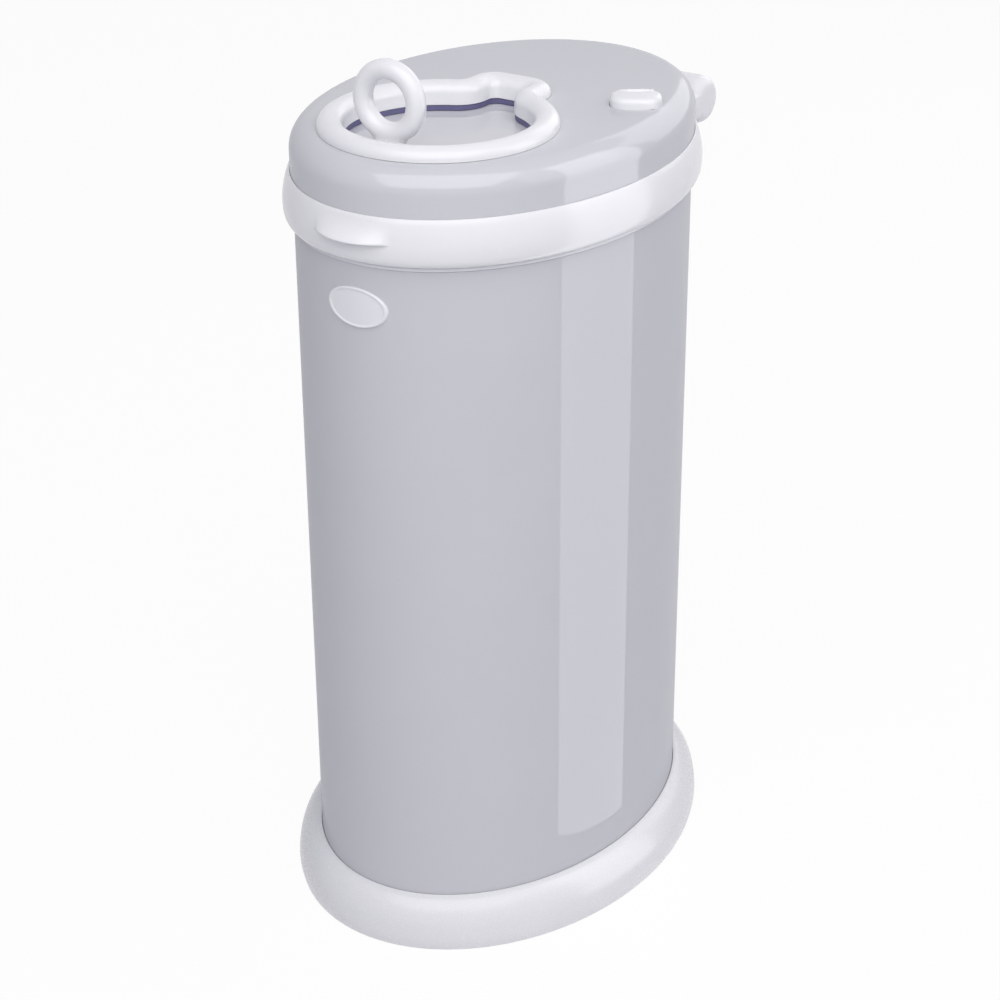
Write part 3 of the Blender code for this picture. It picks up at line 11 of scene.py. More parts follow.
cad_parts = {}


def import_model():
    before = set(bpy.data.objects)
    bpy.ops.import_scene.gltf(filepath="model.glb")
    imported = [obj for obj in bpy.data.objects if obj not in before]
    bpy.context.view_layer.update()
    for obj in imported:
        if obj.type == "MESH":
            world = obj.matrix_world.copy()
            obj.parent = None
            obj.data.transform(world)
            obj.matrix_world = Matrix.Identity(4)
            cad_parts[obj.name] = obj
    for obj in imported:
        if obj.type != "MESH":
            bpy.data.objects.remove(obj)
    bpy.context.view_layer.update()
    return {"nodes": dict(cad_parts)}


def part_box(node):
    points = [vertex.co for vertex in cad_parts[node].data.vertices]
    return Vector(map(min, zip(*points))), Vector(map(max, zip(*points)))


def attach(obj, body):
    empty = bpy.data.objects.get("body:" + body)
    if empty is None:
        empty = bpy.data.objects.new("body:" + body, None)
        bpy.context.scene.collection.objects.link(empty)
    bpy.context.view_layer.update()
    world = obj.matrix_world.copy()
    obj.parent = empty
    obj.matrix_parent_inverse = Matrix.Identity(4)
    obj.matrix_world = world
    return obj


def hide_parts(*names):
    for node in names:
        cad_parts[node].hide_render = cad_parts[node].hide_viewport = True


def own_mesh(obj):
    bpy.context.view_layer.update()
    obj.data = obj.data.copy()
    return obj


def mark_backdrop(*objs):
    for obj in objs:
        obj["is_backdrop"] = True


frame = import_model()

# How finely the pieces are drawn
GAP = 0.0003
OVERRUN = 0.004
WELD = 0.000004
OVAL_STATIONS = 176
ROUND_STEPS = 6
TURNED_STEPS = 40
HOLD_SHARE = 0.22

# The shell's oval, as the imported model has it
HALF_WIDTH = 0.1075
HALF_LENGTH = 0.147
BAND_BULGE = 0.0063
BASE_FLARE = 0.0161
HINGE_SETOUT = 0.011
BARREL_RADIUS = 0.0154
SHELL_WALL = 0.001
HINGE_Y = HALF_LENGTH + HINGE_SETOUT
AXIS_Y = (HALF_LENGTH + BASE_FLARE - HINGE_Y - BARREL_RADIUS) / 2

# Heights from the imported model's own pieces
SHELL_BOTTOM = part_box("body_shell")[0].z
SHELL_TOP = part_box("body_shell")[1].z
PARTING_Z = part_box("lid_frame")[0].z
COVER_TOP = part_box("lid_cover")[1].z
DOOR_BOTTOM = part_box("slide_door")[0].z
DOOR_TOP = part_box("slide_door")[1].z
PANEL_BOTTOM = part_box("inner_lid_panel")[0].z
PANEL_THROAT_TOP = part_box("inner_lid_panel")[1].z
BEZEL_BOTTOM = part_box("opening_bezel")[0].z
HINGE_Z = (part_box("hinge_pin")[0].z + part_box("hinge_pin")[1].z) / 2


# Outlines, as lists of (x, y) running anticlockwise

def oval_point(turn, out):
    """A point at an offset outside the shell, at an angle in degrees."""
    angle = math.radians(turn)
    outward = Vector((math.cos(angle) / HALF_WIDTH, math.sin(angle) / HALF_LENGTH)).normalized()
    x = HALF_WIDTH * math.cos(angle) + outward.x * out
    y = HALF_LENGTH * math.sin(angle) + outward.y * out + AXIS_Y
    return x, y, outward


def even_turns(count=OVAL_STATIONS):
    return [360.0 * (step + 0.5) / count for step in range(count)]


def oval(out, turns=None):
    return [oval_point(turn, out)[:2] for turn in turns or even_turns()]


def oval_y(x, out):
    """Where the offset oval's rear half stands at a given x."""
    turn = 90.0
    for _ in range(12):
        here, _, _ = oval_point(turn, out)
        turn += math.degrees((here - x) / HALF_WIDTH)
    return oval_point(turn, out)[1]


def arc(x, y, radius, start, end, steps):
    angles = (math.radians(start + (end - start) * step / steps) for step in range(steps + 1))
    return [(x + radius * math.cos(angle), y + radius * math.sin(angle)) for angle in angles]


MOUTH_RADIUS = 0.0708
MOUTH_Y = MOUTH_RADIUS + 0.0142 - HALF_LENGTH + AXIS_Y
SLOT_HALF_WIDTH = 0.0275
SLOT_REAR_Y = MOUTH_Y + MOUTH_RADIUS + 0.0212
SLOT_CORNER = 0.0175
SLOT_CORNER_LEAST = 0.006
SLOT_FILLET = 0.005
MOUTH_STEPS = 96
CORNER_STEPS = 12
FILLET_STEPS = 10


def keyhole(inset):
    """The opening's outline, moved in: a round mouth and a slot behind it."""
    reach = SLOT_HALF_WIDTH + SLOT_FILLET
    rise = math.sqrt((MOUTH_RADIUS + SLOT_FILLET) ** 2 - reach ** 2)
    lean = math.degrees(math.atan2(rise, reach))
    corner = max(SLOT_CORNER - inset, SLOT_CORNER_LEAST)
    corner_x = SLOT_HALF_WIDTH - inset - corner
    corner_y = SLOT_REAR_Y - inset - corner
    fillet = SLOT_FILLET + inset
    points = arc(corner_x, corner_y, corner, 0.0, 90.0, CORNER_STEPS)
    points += arc(-corner_x, corner_y, corner, 90.0, 180.0, CORNER_STEPS)
    points += arc(-reach, MOUTH_Y + rise, fillet, 0.0, -lean, FILLET_STEPS)
    points += arc(0.0, MOUTH_Y, MOUTH_RADIUS - inset, 180.0 - lean, 360.0 + lean, MOUTH_STEPS)[1:-1]
    points += arc(reach, MOUTH_Y + rise, fillet, 180.0 + lean, 180.0, FILLET_STEPS)
    return points


def stadium(radius, front_y, rear_y, steps=48):
    return arc(0.0, rear_y, radius, 0.0, 180.0, steps) + arc(0.0, front_y, radius, 180.0, 360.0, steps)


def oblong(x, y, half_length, half_width, exponent, turn, steps=72):
    """A rounded oblong, turned about its centre by degrees."""
    swing = math.radians(turn)
    points = []
    for step in range(steps):
        angle = math.tau * (step + 0.5) / steps
        along = math.copysign(abs(math.cos(angle)) ** (2 / exponent), math.cos(angle)) * half_length
        across = math.copysign(abs(math.sin(angle)) ** (2 / exponent), math.sin(angle)) * half_width
        points.append((
            x + along * math.cos(swing) - across * math.sin(swing),
            y + along * math.sin(swing) + across * math.cos(swing),
        ))
    return points


# Section lines, as lists of (outward, height)

def smooth_line(points, steps=ROUND_STEPS):
    """A smooth line through the points."""
    spots = [Vector(point) for point in points]
    ends = [2 * spots[0] - spots[1]] + spots + [2 * spots[-1] - spots[-2]]
    line = []
    for before, here, there, after in zip(ends, ends[1:], ends[2:], ends[3:]):
        for step in range(steps):
            t = step / steps
            line.append(0.5 * (
                2 * here + (there - before) * t
                + (2 * before - 5 * here + 4 * there - after) * t ** 2
                + (3 * here - before - 3 * there + after) * t ** 3
            ))
    return [tuple(point) for point in line + [spots[-1]]]


def rounded(corners, steps=ROUND_STEPS, closed=True):
    """A section of (outward, height, radius) corners, each rounded, with a point that holds the flats flat."""
    line = []
    count = len(corners)
    for index, (out, height, radius) in enumerate(corners):
        here = Vector((out, height))
        at_end = not closed and index in (0, count - 1)
        if not radius or at_end:
            line.append(tuple(here))
            continue
        back = (Vector(corners[index - 1][:2]) - here).normalized()
        on = (Vector(corners[(index + 1) % count][:2]) - here).normalized()
        half = back.angle(on) / 2
        reach = radius / math.tan(half)
        centre = here + (back + on).normalized() * (radius / math.sin(half))
        start = here + back * reach - centre
        swing = start.angle_signed(here + on * reach - centre)
        line.append(tuple(here + back * (reach + radius * HOLD_SHARE)))
        for step in range(steps + 1):
            turned_arm = start.copy()
            turned_arm.rotate(Matrix.Rotation(-swing * step / steps, 2))
            line.append(tuple(centre + turned_arm))
        line.append(tuple(here + on * (reach + radius * HOLD_SHARE)))
    return line


def skin_line(line, thickness):
    """The line moved in by a thickness, square to its own run."""
    moved = []
    for index, point in enumerate(line):
        before = Vector(line[max(index - 1, 0)])
        after = Vector(line[min(index + 1, len(line) - 1)])
        along = (after - before).normalized()
        moved.append((point[0] - along.y * thickness, point[1] + along.x * thickness))
    return moved


def at_height(line, height):
    """How far out a rising line stands at a height."""
    for (low_out, low), (high_out, high) in zip(line, line[1:]):
        if low <= height <= high:
            return low_out + (high_out - low_out) * (height - low) / max(high - low, WELD)
    return line[-1][0] if height > line[-1][1] else line[0][0]


# Meshes

def loft(shape, rings, around=True, along=False):
    """Skin rings of points; around closes each ring, along joins the last ring to the first."""
    rows = [[shape.verts.new(point) for point in ring] for ring in rings]
    pairs = list(zip(rows, rows[1:]))
    if along:
        pairs.append((rows[-1], rows[0]))
    for lower, upper in pairs:
        count = len(lower)
        for index in range(count if around else count - 1):
            other = (index + 1) % count
            shape.faces.new((lower[index], lower[other], upper[other], upper[index]))
    return rows


def fill(shape, *loops):
    """Close a flat area whose borders are vertex loops, the others being holes in the first."""
    edges = []
    for row in loops:
        for near, far in zip(row, row[1:] + row[:1]):
            edges.append(shape.edges.get((near, far)) or shape.edges.new((near, far)))
    bmesh.ops.triangle_fill(shape, use_beauty=True, edges=edges)


def ring_of(outline, height):
    return [(x, y, height) for x, y in outline]


def carried(outline_at, section, shape=None):
    """Carry a closed section of (outward, height) round an outline that can be moved out."""
    shape = shape or bmesh.new()
    loft(shape, [ring_of(outline_at(out), height) for out, height in section], along=True)
    return shape


def turned(profile, steps=TURNED_STEPS, place=None, shape=None):
    """Turn (radius, height) points about Z, with points on the axis closed, then place the result."""
    shape = shape or bmesh.new()
    place = place or Matrix.Identity(4)
    rings = []
    for radius, height in profile:
        spots = arc(0.0, 0.0, radius, 0.0, 360.0, steps)[:-1]
        rings.append([place @ Vector((x, y, height)) for x, y in spots])
    loft(shape, rings)
    return shape


def tidy(shape):
    bmesh.ops.remove_doubles(shape, verts=shape.verts, dist=WELD)
    bmesh.ops.dissolve_degenerate(shape, edges=shape.edges, dist=WELD / 2)
    bmesh.ops.recalc_face_normals(shape, faces=shape.faces)
    return shape


def block(low, high):
    """A plain cutting block between two corners."""
    shape = bmesh.new()
    bmesh.ops.create_cube(shape, size=1.0)
    size = [far - near for near, far in zip(low, high)]
    middle = [(near + far) / 2 for near, far in zip(low, high)]
    bmesh.ops.scale(shape, vec=size, verts=shape.verts)
    bmesh.ops.translate(shape, vec=middle, verts=shape.verts)
    return shape


def prism(outline, bottom, top):
    shape = bmesh.new()
    rows = loft(shape, [ring_of(outline, bottom), ring_of(outline, top)])
    fill(shape, rows[0])
    fill(shape, rows[1])
    return tidy(shape)


def rod_x(radius, left, right, y, z, steps=TURNED_STEPS):
    place = Matrix.Translation((left, y, z)) @ Matrix.Rotation(math.pi / 2, 4, "Y")
    length = right - left
    return tidy(turned([(0.0, 0.0), (radius, 0.0), (radius, length), (0.0, length)], steps, place))


def loose(name, shape):
    """An object for a shape that is still being worked on."""
    mesh = bpy.data.meshes.new(name)
    shape.to_mesh(mesh)
    shape.free()
    made = bpy.data.objects.new(name, mesh)
    bpy.context.scene.collection.objects.link(made)
    return made


def settled(made, helpers=()):
    """The object's mesh with its modifiers worked out, as a shape; the object and its helpers go."""
    bpy.context.view_layer.update()
    result = made.evaluated_get(bpy.context.evaluated_depsgraph_get()).to_mesh()
    shape = bmesh.new()
    shape.from_mesh(result)
    for spent in (made, *helpers):
        mesh = spent.data
        bpy.data.objects.remove(spent)
        bpy.data.meshes.remove(mesh)
    return shape


def worked(shape, steps):
    """Join shapes to a shape and cut shapes from it, in turn."""
    made = loose("being_worked", tidy(shape))
    tools = []
    for operation, tool in steps:
        helper = loose("tool", tool)
        tools.append(helper)
        modifier = made.modifiers.new(operation, "BOOLEAN")
        modifier.operation = operation
        modifier.solver = "EXACT"
        modifier.object = helper
    return settled(made, tools)


JOIN, CUT = "UNION", "DIFFERENCE"


def piece(name, shape, body, look, *nodes, sharp=38.0):
    """A finished piece: smooth shaded, on its body, in place of its nodes."""
    made = loose(name, tidy(shape))
    made.data.shade_smooth()
    made.data.set_sharp_from_angle(angle=math.radians(sharp))
    return dress(made, body, look, *nodes)


def dress(made, body, look, *nodes):
    made.data.materials.clear()
    made.data.materials.append(look.material)
    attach(made, body)
    if nodes:
        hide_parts(*nodes)
    return made


# Finishes

class Value:
    """A number from a node, with Python's arithmetic on it."""

    def __init__(self, look, socket):
        self.look = look
        self.socket = socket

    def _maths(self, operation, first, second):
        return self.look.node("ShaderNodeMath", {"operation": operation}, {0: first, 1: second})

    def __add__(self, other):
        return self._maths("ADD", self, other)

    def __radd__(self, other):
        return self._maths("ADD", other, self)

    def __sub__(self, other):
        return self._maths("SUBTRACT", self, other)

    def __rsub__(self, other):
        return self._maths("SUBTRACT", other, self)

    def __mul__(self, other):
        return self._maths("MULTIPLY", self, other)

    def __rmul__(self, other):
        return self._maths("MULTIPLY", other, self)

    def above(self, level, softness):
        """0 below the level and 1 above it, with a soft step."""
        return self.look.node(
            "ShaderNodeMapRange", {"interpolation_type": "SMOOTHSTEP"},
            {"Value": self, "From Min": level - softness, "From Max": level + softness},
        )


class Look:
    """A finish: one principled shader, its constant sockets and the nodes that feed it."""

    def __init__(self, name, slot, tree=None, **constants):
        self.slot = slot
        self.tree = tree
        if tree:
            return
        self.material = bpy.data.materials.new(name)
        self.material.use_nodes = True
        self.tree = self.material.node_tree
        self.shader = self.tree.nodes["Principled BSDF"]
        for socket, value in constants.items():
            self.shader.inputs[socket.replace("_", " ")].default_value = value

    def node(self, kind, settings=None, sockets=None, output=0):
        """Any node: its settings first, then the values or links of its sockets."""
        made = self.tree.nodes.new(kind)
        for setting, value in (settings or {}).items():
            setattr(made, setting, value)
        for socket, value in (sockets or {}).items():
            if isinstance(value, Value):
                self.tree.links.new(value.socket, made.inputs[socket])
            else:
                made.inputs[socket].default_value = value
        return Value(self, made.outputs[output])

    def place(self):
        """Where on the piece a point is, in metres."""
        return self.node("ShaderNodeTexCoord", output="Object")

    def noise(self, scale, detail=3.0, roughness=0.5, place=None):
        return self.node("ShaderNodeTexNoise", {"noise_dimensions": "3D"}, {
            "Vector": place or self.place(), "Scale": scale, "Detail": detail, "Roughness": roughness,
        })

    def stretched(self, x, y, z):
        return self.node("ShaderNodeVectorMath", {"operation": "MULTIPLY"}, {0: self.place(), 1: (x, y, z)})

    def blend(self, share, first, second):
        """A colour between two colours."""
        return self.node(
            "ShaderNodeMix", {"data_type": "RGBA"}, {0: share, 6: first, 7: second}, output=2,
        )

    def feed(self, socket, value):
        self.tree.links.new(value.socket, self.shader.inputs[socket])
        return self

    def bump(self, height, depth):
        """Raise the surface by a height from 0 to 1 times a depth in metres."""
        return self.feed("Normal", self.node(
            "ShaderNodeBump", {}, {"Height": height, "Distance": depth, "Strength": 1.0},
        ))


def shade(red, green, blue):
    return (red, green, blue, 1.0)


def moulded_plastic(name, slot, light, dark, roughness, spread, grain, depth):
    """Moulded plastic: faint flow tone, fine moulding grain and a few handling scuffs."""
    look = Look(name, slot, IOR=1.46)
    flow = look.noise(22.0, 2.0)
    fine = look.noise(grain, 4.0, 0.6)
    scuffs = look.noise(9.0, 5.0, 0.7, look.stretched(34.0, 31.0, 5.0)).above(0.69, 0.05)
    look.feed("Base Color", look.blend(flow, shade(*dark), shade(*light)))
    look.feed("Roughness", roughness + spread * (fine - 0.5) + 0.10 * scuffs)
    return look.bump(fine + 0.15 * flow, depth)


def powder_coat(name, slot, light, dark, roughness, peel, **gloss):
    """Powder coat on sheet steel: soft peel, a fine speck in the tone and a clear top."""
    look = Look(name, slot, IOR=1.5, **gloss)
    drift = look.noise(14.0, 2.0)
    peeled = look.noise(620.0, 2.0, 0.45)
    specks = look.noise(2100.0, 1.0).above(0.63, 0.06)
    look.feed("Base Color", look.blend(drift + 0.35 * specks, shade(*light), shade(*dark)))
    look.feed("Roughness", roughness + 0.08 * (peeled - 0.5) + 0.05 * specks)
    return look.bump(peeled, peel)


def rubber(name, slot, light, dark, roughness):
    look = Look(name, slot, IOR=1.5)
    bloom = look.noise(60.0, 4.0, 0.6)
    fine = look.noise(1500.0, 3.0, 0.6)
    look.feed("Base Color", look.blend(bloom, shade(*dark), shade(*light)))
    look.feed("Roughness", roughness + 0.14 * (bloom - 0.5))
    return look.bump(fine, 0.00006)


def zinc_steel():
    """Plated steel: fine turning lines and a mottled plate."""
    look = Look("zinc_plated_steel", "bright_steel", Metallic=1.0)
    mottle = look.noise(480.0, 3.0, 0.6)
    lines = look.noise(60.0, 2.0, 0.5, look.stretched(6.0, 6.0, 160.0))
    look.feed("Base Color", look.blend(mottle, shade(0.50, 0.50, 0.51), shade(0.70, 0.70, 0.72)))
    look.feed("Roughness", 0.24 + 0.16 * mottle + 0.06 * lines)
    return look.bump(lines, 0.00002)


GLOSS_WHITE = moulded_plastic(
    "gloss_white_plastic", "white_plastic", (0.875, 0.875, 0.883), (0.85, 0.85, 0.86), 0.24, 0.05, 900.0, 0.00001)
# The ring's white is a lighter copy of the gloss white: the lighter colour is painted light, and the lower roughness is
# its glossier finish.
LIT_RING_WHITE = moulded_plastic(
    "ring_white_plastic_painted_light", "white_plastic", (0.89, 0.89, 0.898), (0.865, 0.865, 0.875), 0.20, 0.04, 1100.0, 0.000008)
# The base rim's white is a darker copy of the gloss white: painted shade for the dimmer light low down near the floor.
SHADED_BASE_WHITE = moulded_plastic(
    "base_white_plastic_painted_shade", "white_plastic", (0.835, 0.835, 0.843), (0.81, 0.81, 0.82), 0.27, 0.06, 900.0, 0.00001)
BADGE_WHITE = moulded_plastic(
    "badge_white_plastic", "badge_plastic", (0.87, 0.87, 0.885), (0.85, 0.85, 0.865), 0.18, 0.03, 1300.0, 0.000008)
SATIN_WHITE = moulded_plastic(
    "satin_white_plastic", "white_inner_plastic", (0.84, 0.84, 0.86), (0.80, 0.80, 0.82), 0.42, 0.08, 700.0, 0.00003)
GREY_COAT = powder_coat(
    "grey_powder_coat", "grey_paint", (0.65, 0.65, 0.675), (0.625, 0.625, 0.655), 0.34, 0.000016,
    Specular_IOR_Level=0.0, Coat_Weight=0.3, Coat_IOR=1.8, Coat_Roughness=0.03)
LID_COAT = powder_coat(
    "gloss_powder_coat", "grey_paint", (0.65, 0.65, 0.675), (0.625, 0.625, 0.655), 0.30, 0.000012,
    Specular_IOR_Level=0.0, Coat_Weight=0.5, Coat_IOR=1.8, Coat_Roughness=0.10)
PAN_COAT = powder_coat(
    "grey_pan_coat", "grey_pan_paint", (0.50, 0.50, 0.54), (0.46, 0.46, 0.50), 0.46, 0.00003)
DOOR_GREY = powder_coat(
    "gloss_grey_door", "grey_door", (0.66, 0.66, 0.685), (0.64, 0.64, 0.67), 0.16, 0.000005,
    Specular_IOR_Level=0.0, Coat_Weight=0.9, Coat_IOR=1.8, Coat_Roughness=0.02)
FOOT_RUBBER = rubber("foot_rubber_black", "foot_rubber", (0.055, 0.055, 0.06), (0.03, 0.03, 0.035), 0.72)
# The door seal's dark violet colour is painted shadow: it stands for the dark gap line between the bezel wall and the
# door.
SEAL_PAINTED_SHADOW = rubber("seal_violet_painted_shadow", "seal_rubber", (0.15, 0.14, 0.27), (0.10, 0.095, 0.20), 0.55)
STEEL = zinc_steel()


# Base: the flared rim, its feet, the floor pan and the screws between them

BASE_HEIGHT = 0.0330
BASE_SKIN = 0.003
BASE_CLEARANCE = 0.0008
BASE_JOINT_GAP = 0.0004
BASE_CURVE_SHARES = (
    (0.93, 0.0), (1.0, 0.18), (0.97, 0.40), (0.86, 0.62), (0.60, 0.84), (0.32, 0.96), (0.12, 1.0),
)
LEDGE_REACH = 0.006
LEDGE_TOP = 0.0200
LEDGE_THICKNESS = 0.003
FOOT_TURNS = (28.0, 152.0, 208.0, 332.0)
FOOT_SETOUT = 0.0042
FOOT_RADIUS = 0.007
FOOT_HEIGHT = 0.003
BOSS_RADIUS = 0.005
BASE_SCREW_TURNS = (40.0, 140.0, 220.0, 320.0)
PAN_WALL = 0.0012
PAN_HEIGHT = 0.010


def on_turn(turn, out, height=0.0):
    x, y, _ = oval_point(turn, out)
    return Matrix.Translation((x, y, height))


def base_rim():
    outer = smooth_line([
        (share * BASE_FLARE, BASE_CLEARANCE + rise * (BASE_HEIGHT - BASE_CLEARANCE))
        for share, rise in BASE_CURVE_SHARES
    ])
    inner = skin_line(outer, BASE_SKIN)
    sleeve = BASE_JOINT_GAP + BASE_SKIN
    ledge_bottom = LEDGE_TOP - LEDGE_THICKNESS
    hollow = [point for point in inner[1:] if point[0] > sleeve + BASE_SKIN / 2]
    section = outer + [
        (BASE_JOINT_GAP, BASE_HEIGHT), (BASE_JOINT_GAP, LEDGE_TOP),
        (-LEDGE_REACH, LEDGE_TOP), (-LEDGE_REACH, ledge_bottom),
        (sleeve, ledge_bottom), (sleeve, hollow[-1][1]),
    ] + hollow[::-1] + [(outer[0][0] - BASE_SKIN, outer[0][1])]
    rim = carried(oval, section)
    steps = []
    for turn in FOOT_TURNS:
        boss = [(0.0, FOOT_HEIGHT + GAP), (BOSS_RADIUS, FOOT_HEIGHT + GAP),
                (BOSS_RADIUS, LEDGE_TOP - GAP), (0.0, LEDGE_TOP - GAP)]
        steps.append((JOIN, tidy(turned(boss, 28, on_turn(turn, FOOT_SETOUT)))))
    # The rim wears the darker copy of the white plastic, which is painted shade.
    return piece("flared_base_rim", worked(rim, steps), "body", SHADED_BASE_WHITE, "base_rim")


def feet():
    profile = [(0.0, 0.0004), (FOOT_RADIUS * 0.55, 0.0004), (FOOT_RADIUS * 0.62, 0.0)]
    profile += [(out, height) for out, height in rounded([
        (FOOT_RADIUS * 0.62, 0.0, 0.0), (FOOT_RADIUS, 0.0, 0.0009), (FOOT_RADIUS, FOOT_HEIGHT, 0.0006),
        (0.0, FOOT_HEIGHT, 0.0),
    ], closed=False)][1:]
    for number, turn in enumerate(FOOT_TURNS, 1):
        shape = turned(profile, 36, on_turn(turn, FOOT_SETOUT))
        piece(f"domed_foot_{number}", shape, "body", FOOT_RUBBER, f"rubber_foot_{number}")


def floor_pan():
    """The pressed pan: an upright edge, a rounded corner and two stiffening beads."""
    edge = -SHELL_WALL - GAP
    bottom = LEDGE_TOP + GAP
    top = bottom + PAN_HEIGHT
    bead = [(-0.022, 0.0), (-0.025, 0.0012), (-0.029, 0.0012), (-0.032, 0.0),
            (-0.046, 0.0), (-0.049, 0.0012), (-0.053, 0.0012), (-0.056, 0.0)]
    under = rounded([
        (-0.060, bottom, 0.0), *[(out, bottom + rise, 0.0011) for out, rise in bead[::-1]],
        (edge, bottom, 0.0022), (edge, top, 0.0004), (edge - PAN_WALL, top, 0.0004),
        (edge - PAN_WALL, bottom + PAN_WALL, 0.0012),
        *[(out, bottom + PAN_WALL + rise, 0.0011) for out, rise in bead],
        (-0.060, bottom + PAN_WALL, 0.0),
    ], 4, closed=False)
    shape = bmesh.new()
    rows = loft(shape, [ring_of(oval(out), height) for out, height in under])
    fill(shape, rows[0])
    fill(shape, rows[-1])
    return piece("pressed_floor_pan", shape, "body", PAN_COAT, "bottom_plate")


# Shell, its rear seam and the bare badge

SEAM_HALF_WIDTH = 0.003
SEAM_RISE = 0.0006
BADGE_HALF_WIDTH = 0.02075
BADGE_HALF_HEIGHT = 0.0120
BADGE_Z = SHELL_TOP - 0.0257
BADGE_RISE = 0.0013


def body_shell():
    section = [
        (0.0, SHELL_BOTTOM), (0.0, SHELL_TOP), (-SHELL_WALL, SHELL_TOP), (-SHELL_WALL, SHELL_BOTTOM),
    ]
    return piece("smooth_steel_shell", carried(oval, section), "body", GREY_COAT, "body_shell")


def shell_seam():
    """The flattened lock seam down the shell's back."""
    width = [(-1.0, -0.3), (-0.93, 0.35), (-0.72, 0.93), (-0.5, 1.0), (0.0, 1.0),
             (0.5, 1.0), (0.72, 0.93), (0.93, 0.35), (1.0, -0.3)]
    low = BASE_HEIGHT - 0.002
    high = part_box("hinge_bracket")[0].z + 0.002
    rings = []
    for height in (low, high):
        ring = []
        for across, rise in width:
            x = across * SEAM_HALF_WIDTH
            ring.append((x, oval_y(x, rise * SEAM_RISE), height))
        rings.append(ring)
    shape = bmesh.new()
    rows = loft(shape, rings, around=False)
    for row in rows:
        shape.faces.new(row)
    shape.faces.new((rows[0][0], rows[0][-1], rows[1][-1], rows[1][0]))
    return piece("rear_lock_seam", shape, "body", GREY_COAT)


def front_y(x, out):
    """Where the front of the shell stands at x, moved out."""
    return 2 * AXIS_Y - oval_y(x, out)


def badge():
    """A bare oval plate: a rounded raised border round a shallow, slightly crowned field."""
    steps = [(0.0, 1.00), (0.55, 1.00), (0.85, 0.985), (1.0, 0.955), (1.0, 0.915), (0.88, 0.895),
             (0.66, 0.88), (0.60, 0.865), (0.62, 0.80), (0.66, 0.60), (0.70, 0.35), (0.72, 0.12)]
    shape = bmesh.new()
    rings = []
    for rise, share in steps:
        ring = []
        for step in range(80):
            angle = math.tau * step / 80
            x = BADGE_HALF_WIDTH * share * math.cos(angle)
            z = BADGE_Z + BADGE_HALF_HEIGHT * share * math.sin(angle)
            ring.append((x, front_y(x, rise * BADGE_RISE), z))
        rings.append(ring)
    rows = loft(shape, rings)
    shape.faces.new(rows[-1])
    shape.faces.new(rows[0])
    return piece("bare_oval_badge", shape, "body", BADGE_WHITE, "badge")


# Collar and bag ring at the shell's mouth

COLLAR_LIP = 0.0006
COLLAR_WALL = 0.0022
COLLAR_DEPTH = 0.034
COLLAR_LEDGE_REACH = 0.0055
COLLAR_LEDGE_TOP = SHELL_TOP - 0.0105
BAG_RING_WALL = 0.0025
BAG_RING_TOP = PARTING_Z - 0.0016
BAG_RING_DECK = 0.0175
BAG_RING_FALL = 0.003
BAG_RING_THROAT = 0.024
GRIP_HALF_LENGTH = 0.018
GRIP_HALF_WIDTH = 0.0045


def top_collar():
    wall = -SHELL_WALL - GAP
    inner = wall - COLLAR_WALL
    collar_top = PARTING_Z - GAP
    ledge_bottom = COLLAR_LEDGE_TOP - 0.002
    section = rounded([
        (inner, SHELL_TOP - COLLAR_DEPTH, 0.0005), (wall, SHELL_TOP - COLLAR_DEPTH, 0.0),
        (wall, SHELL_TOP + GAP, 0.0), (COLLAR_LIP, SHELL_TOP + GAP, 0.0004),
        (COLLAR_LIP, collar_top, 0.0008), (inner, collar_top, 0.0008), (inner, COLLAR_LEDGE_TOP, 0.0),
        (inner - COLLAR_LEDGE_REACH, COLLAR_LEDGE_TOP, 0.0005),
        (inner - COLLAR_LEDGE_REACH, ledge_bottom, 0.0005),
        (inner, ledge_bottom - COLLAR_LEDGE_REACH, 0.002),
    ])
    return piece("rounded_top_collar", carried(oval, section), "body", SATIN_WHITE, "top_collar")


def bag_ring():
    outer = -SHELL_WALL - GAP - COLLAR_WALL - GAP
    foot = COLLAR_LEDGE_TOP + GAP
    deck_inner = outer - BAG_RING_WALL - BAG_RING_DECK
    throat = deck_inner - BAG_RING_WALL
    deck_bottom = BAG_RING_TOP - BAG_RING_WALL
    low = BAG_RING_TOP - BAG_RING_FALL - BAG_RING_THROAT
    section = rounded([
        (outer - BAG_RING_WALL, foot, 0.0006), (outer, foot, 0.0006), (outer, BAG_RING_TOP, 0.0014),
        (deck_inner, BAG_RING_TOP - BAG_RING_FALL, 0.0026), (throat, low, 0.0006),
        (deck_inner, low, 0.0006), (deck_inner, deck_bottom - BAG_RING_FALL, 0.0008),
        (outer - BAG_RING_WALL, deck_bottom, 0.0008),
    ])
    middle = HALF_WIDTH + outer - BAG_RING_WALL - BAG_RING_DECK / 2
    steps = [
        (CUT, prism(oblong(side * middle, AXIS_Y, GRIP_HALF_LENGTH, GRIP_HALF_WIDTH, 3.0, 90.0),
                    foot, BAG_RING_TOP + OVERRUN))
        for side in (-1, 1)
    ]
    shape = worked(carried(oval, section), steps)
    return piece("rounded_bag_ring", shape, "body", SATIN_WHITE, "bag_ring")


# Lid frame: the bulged band with its thumb lip, and the hump over the hinge

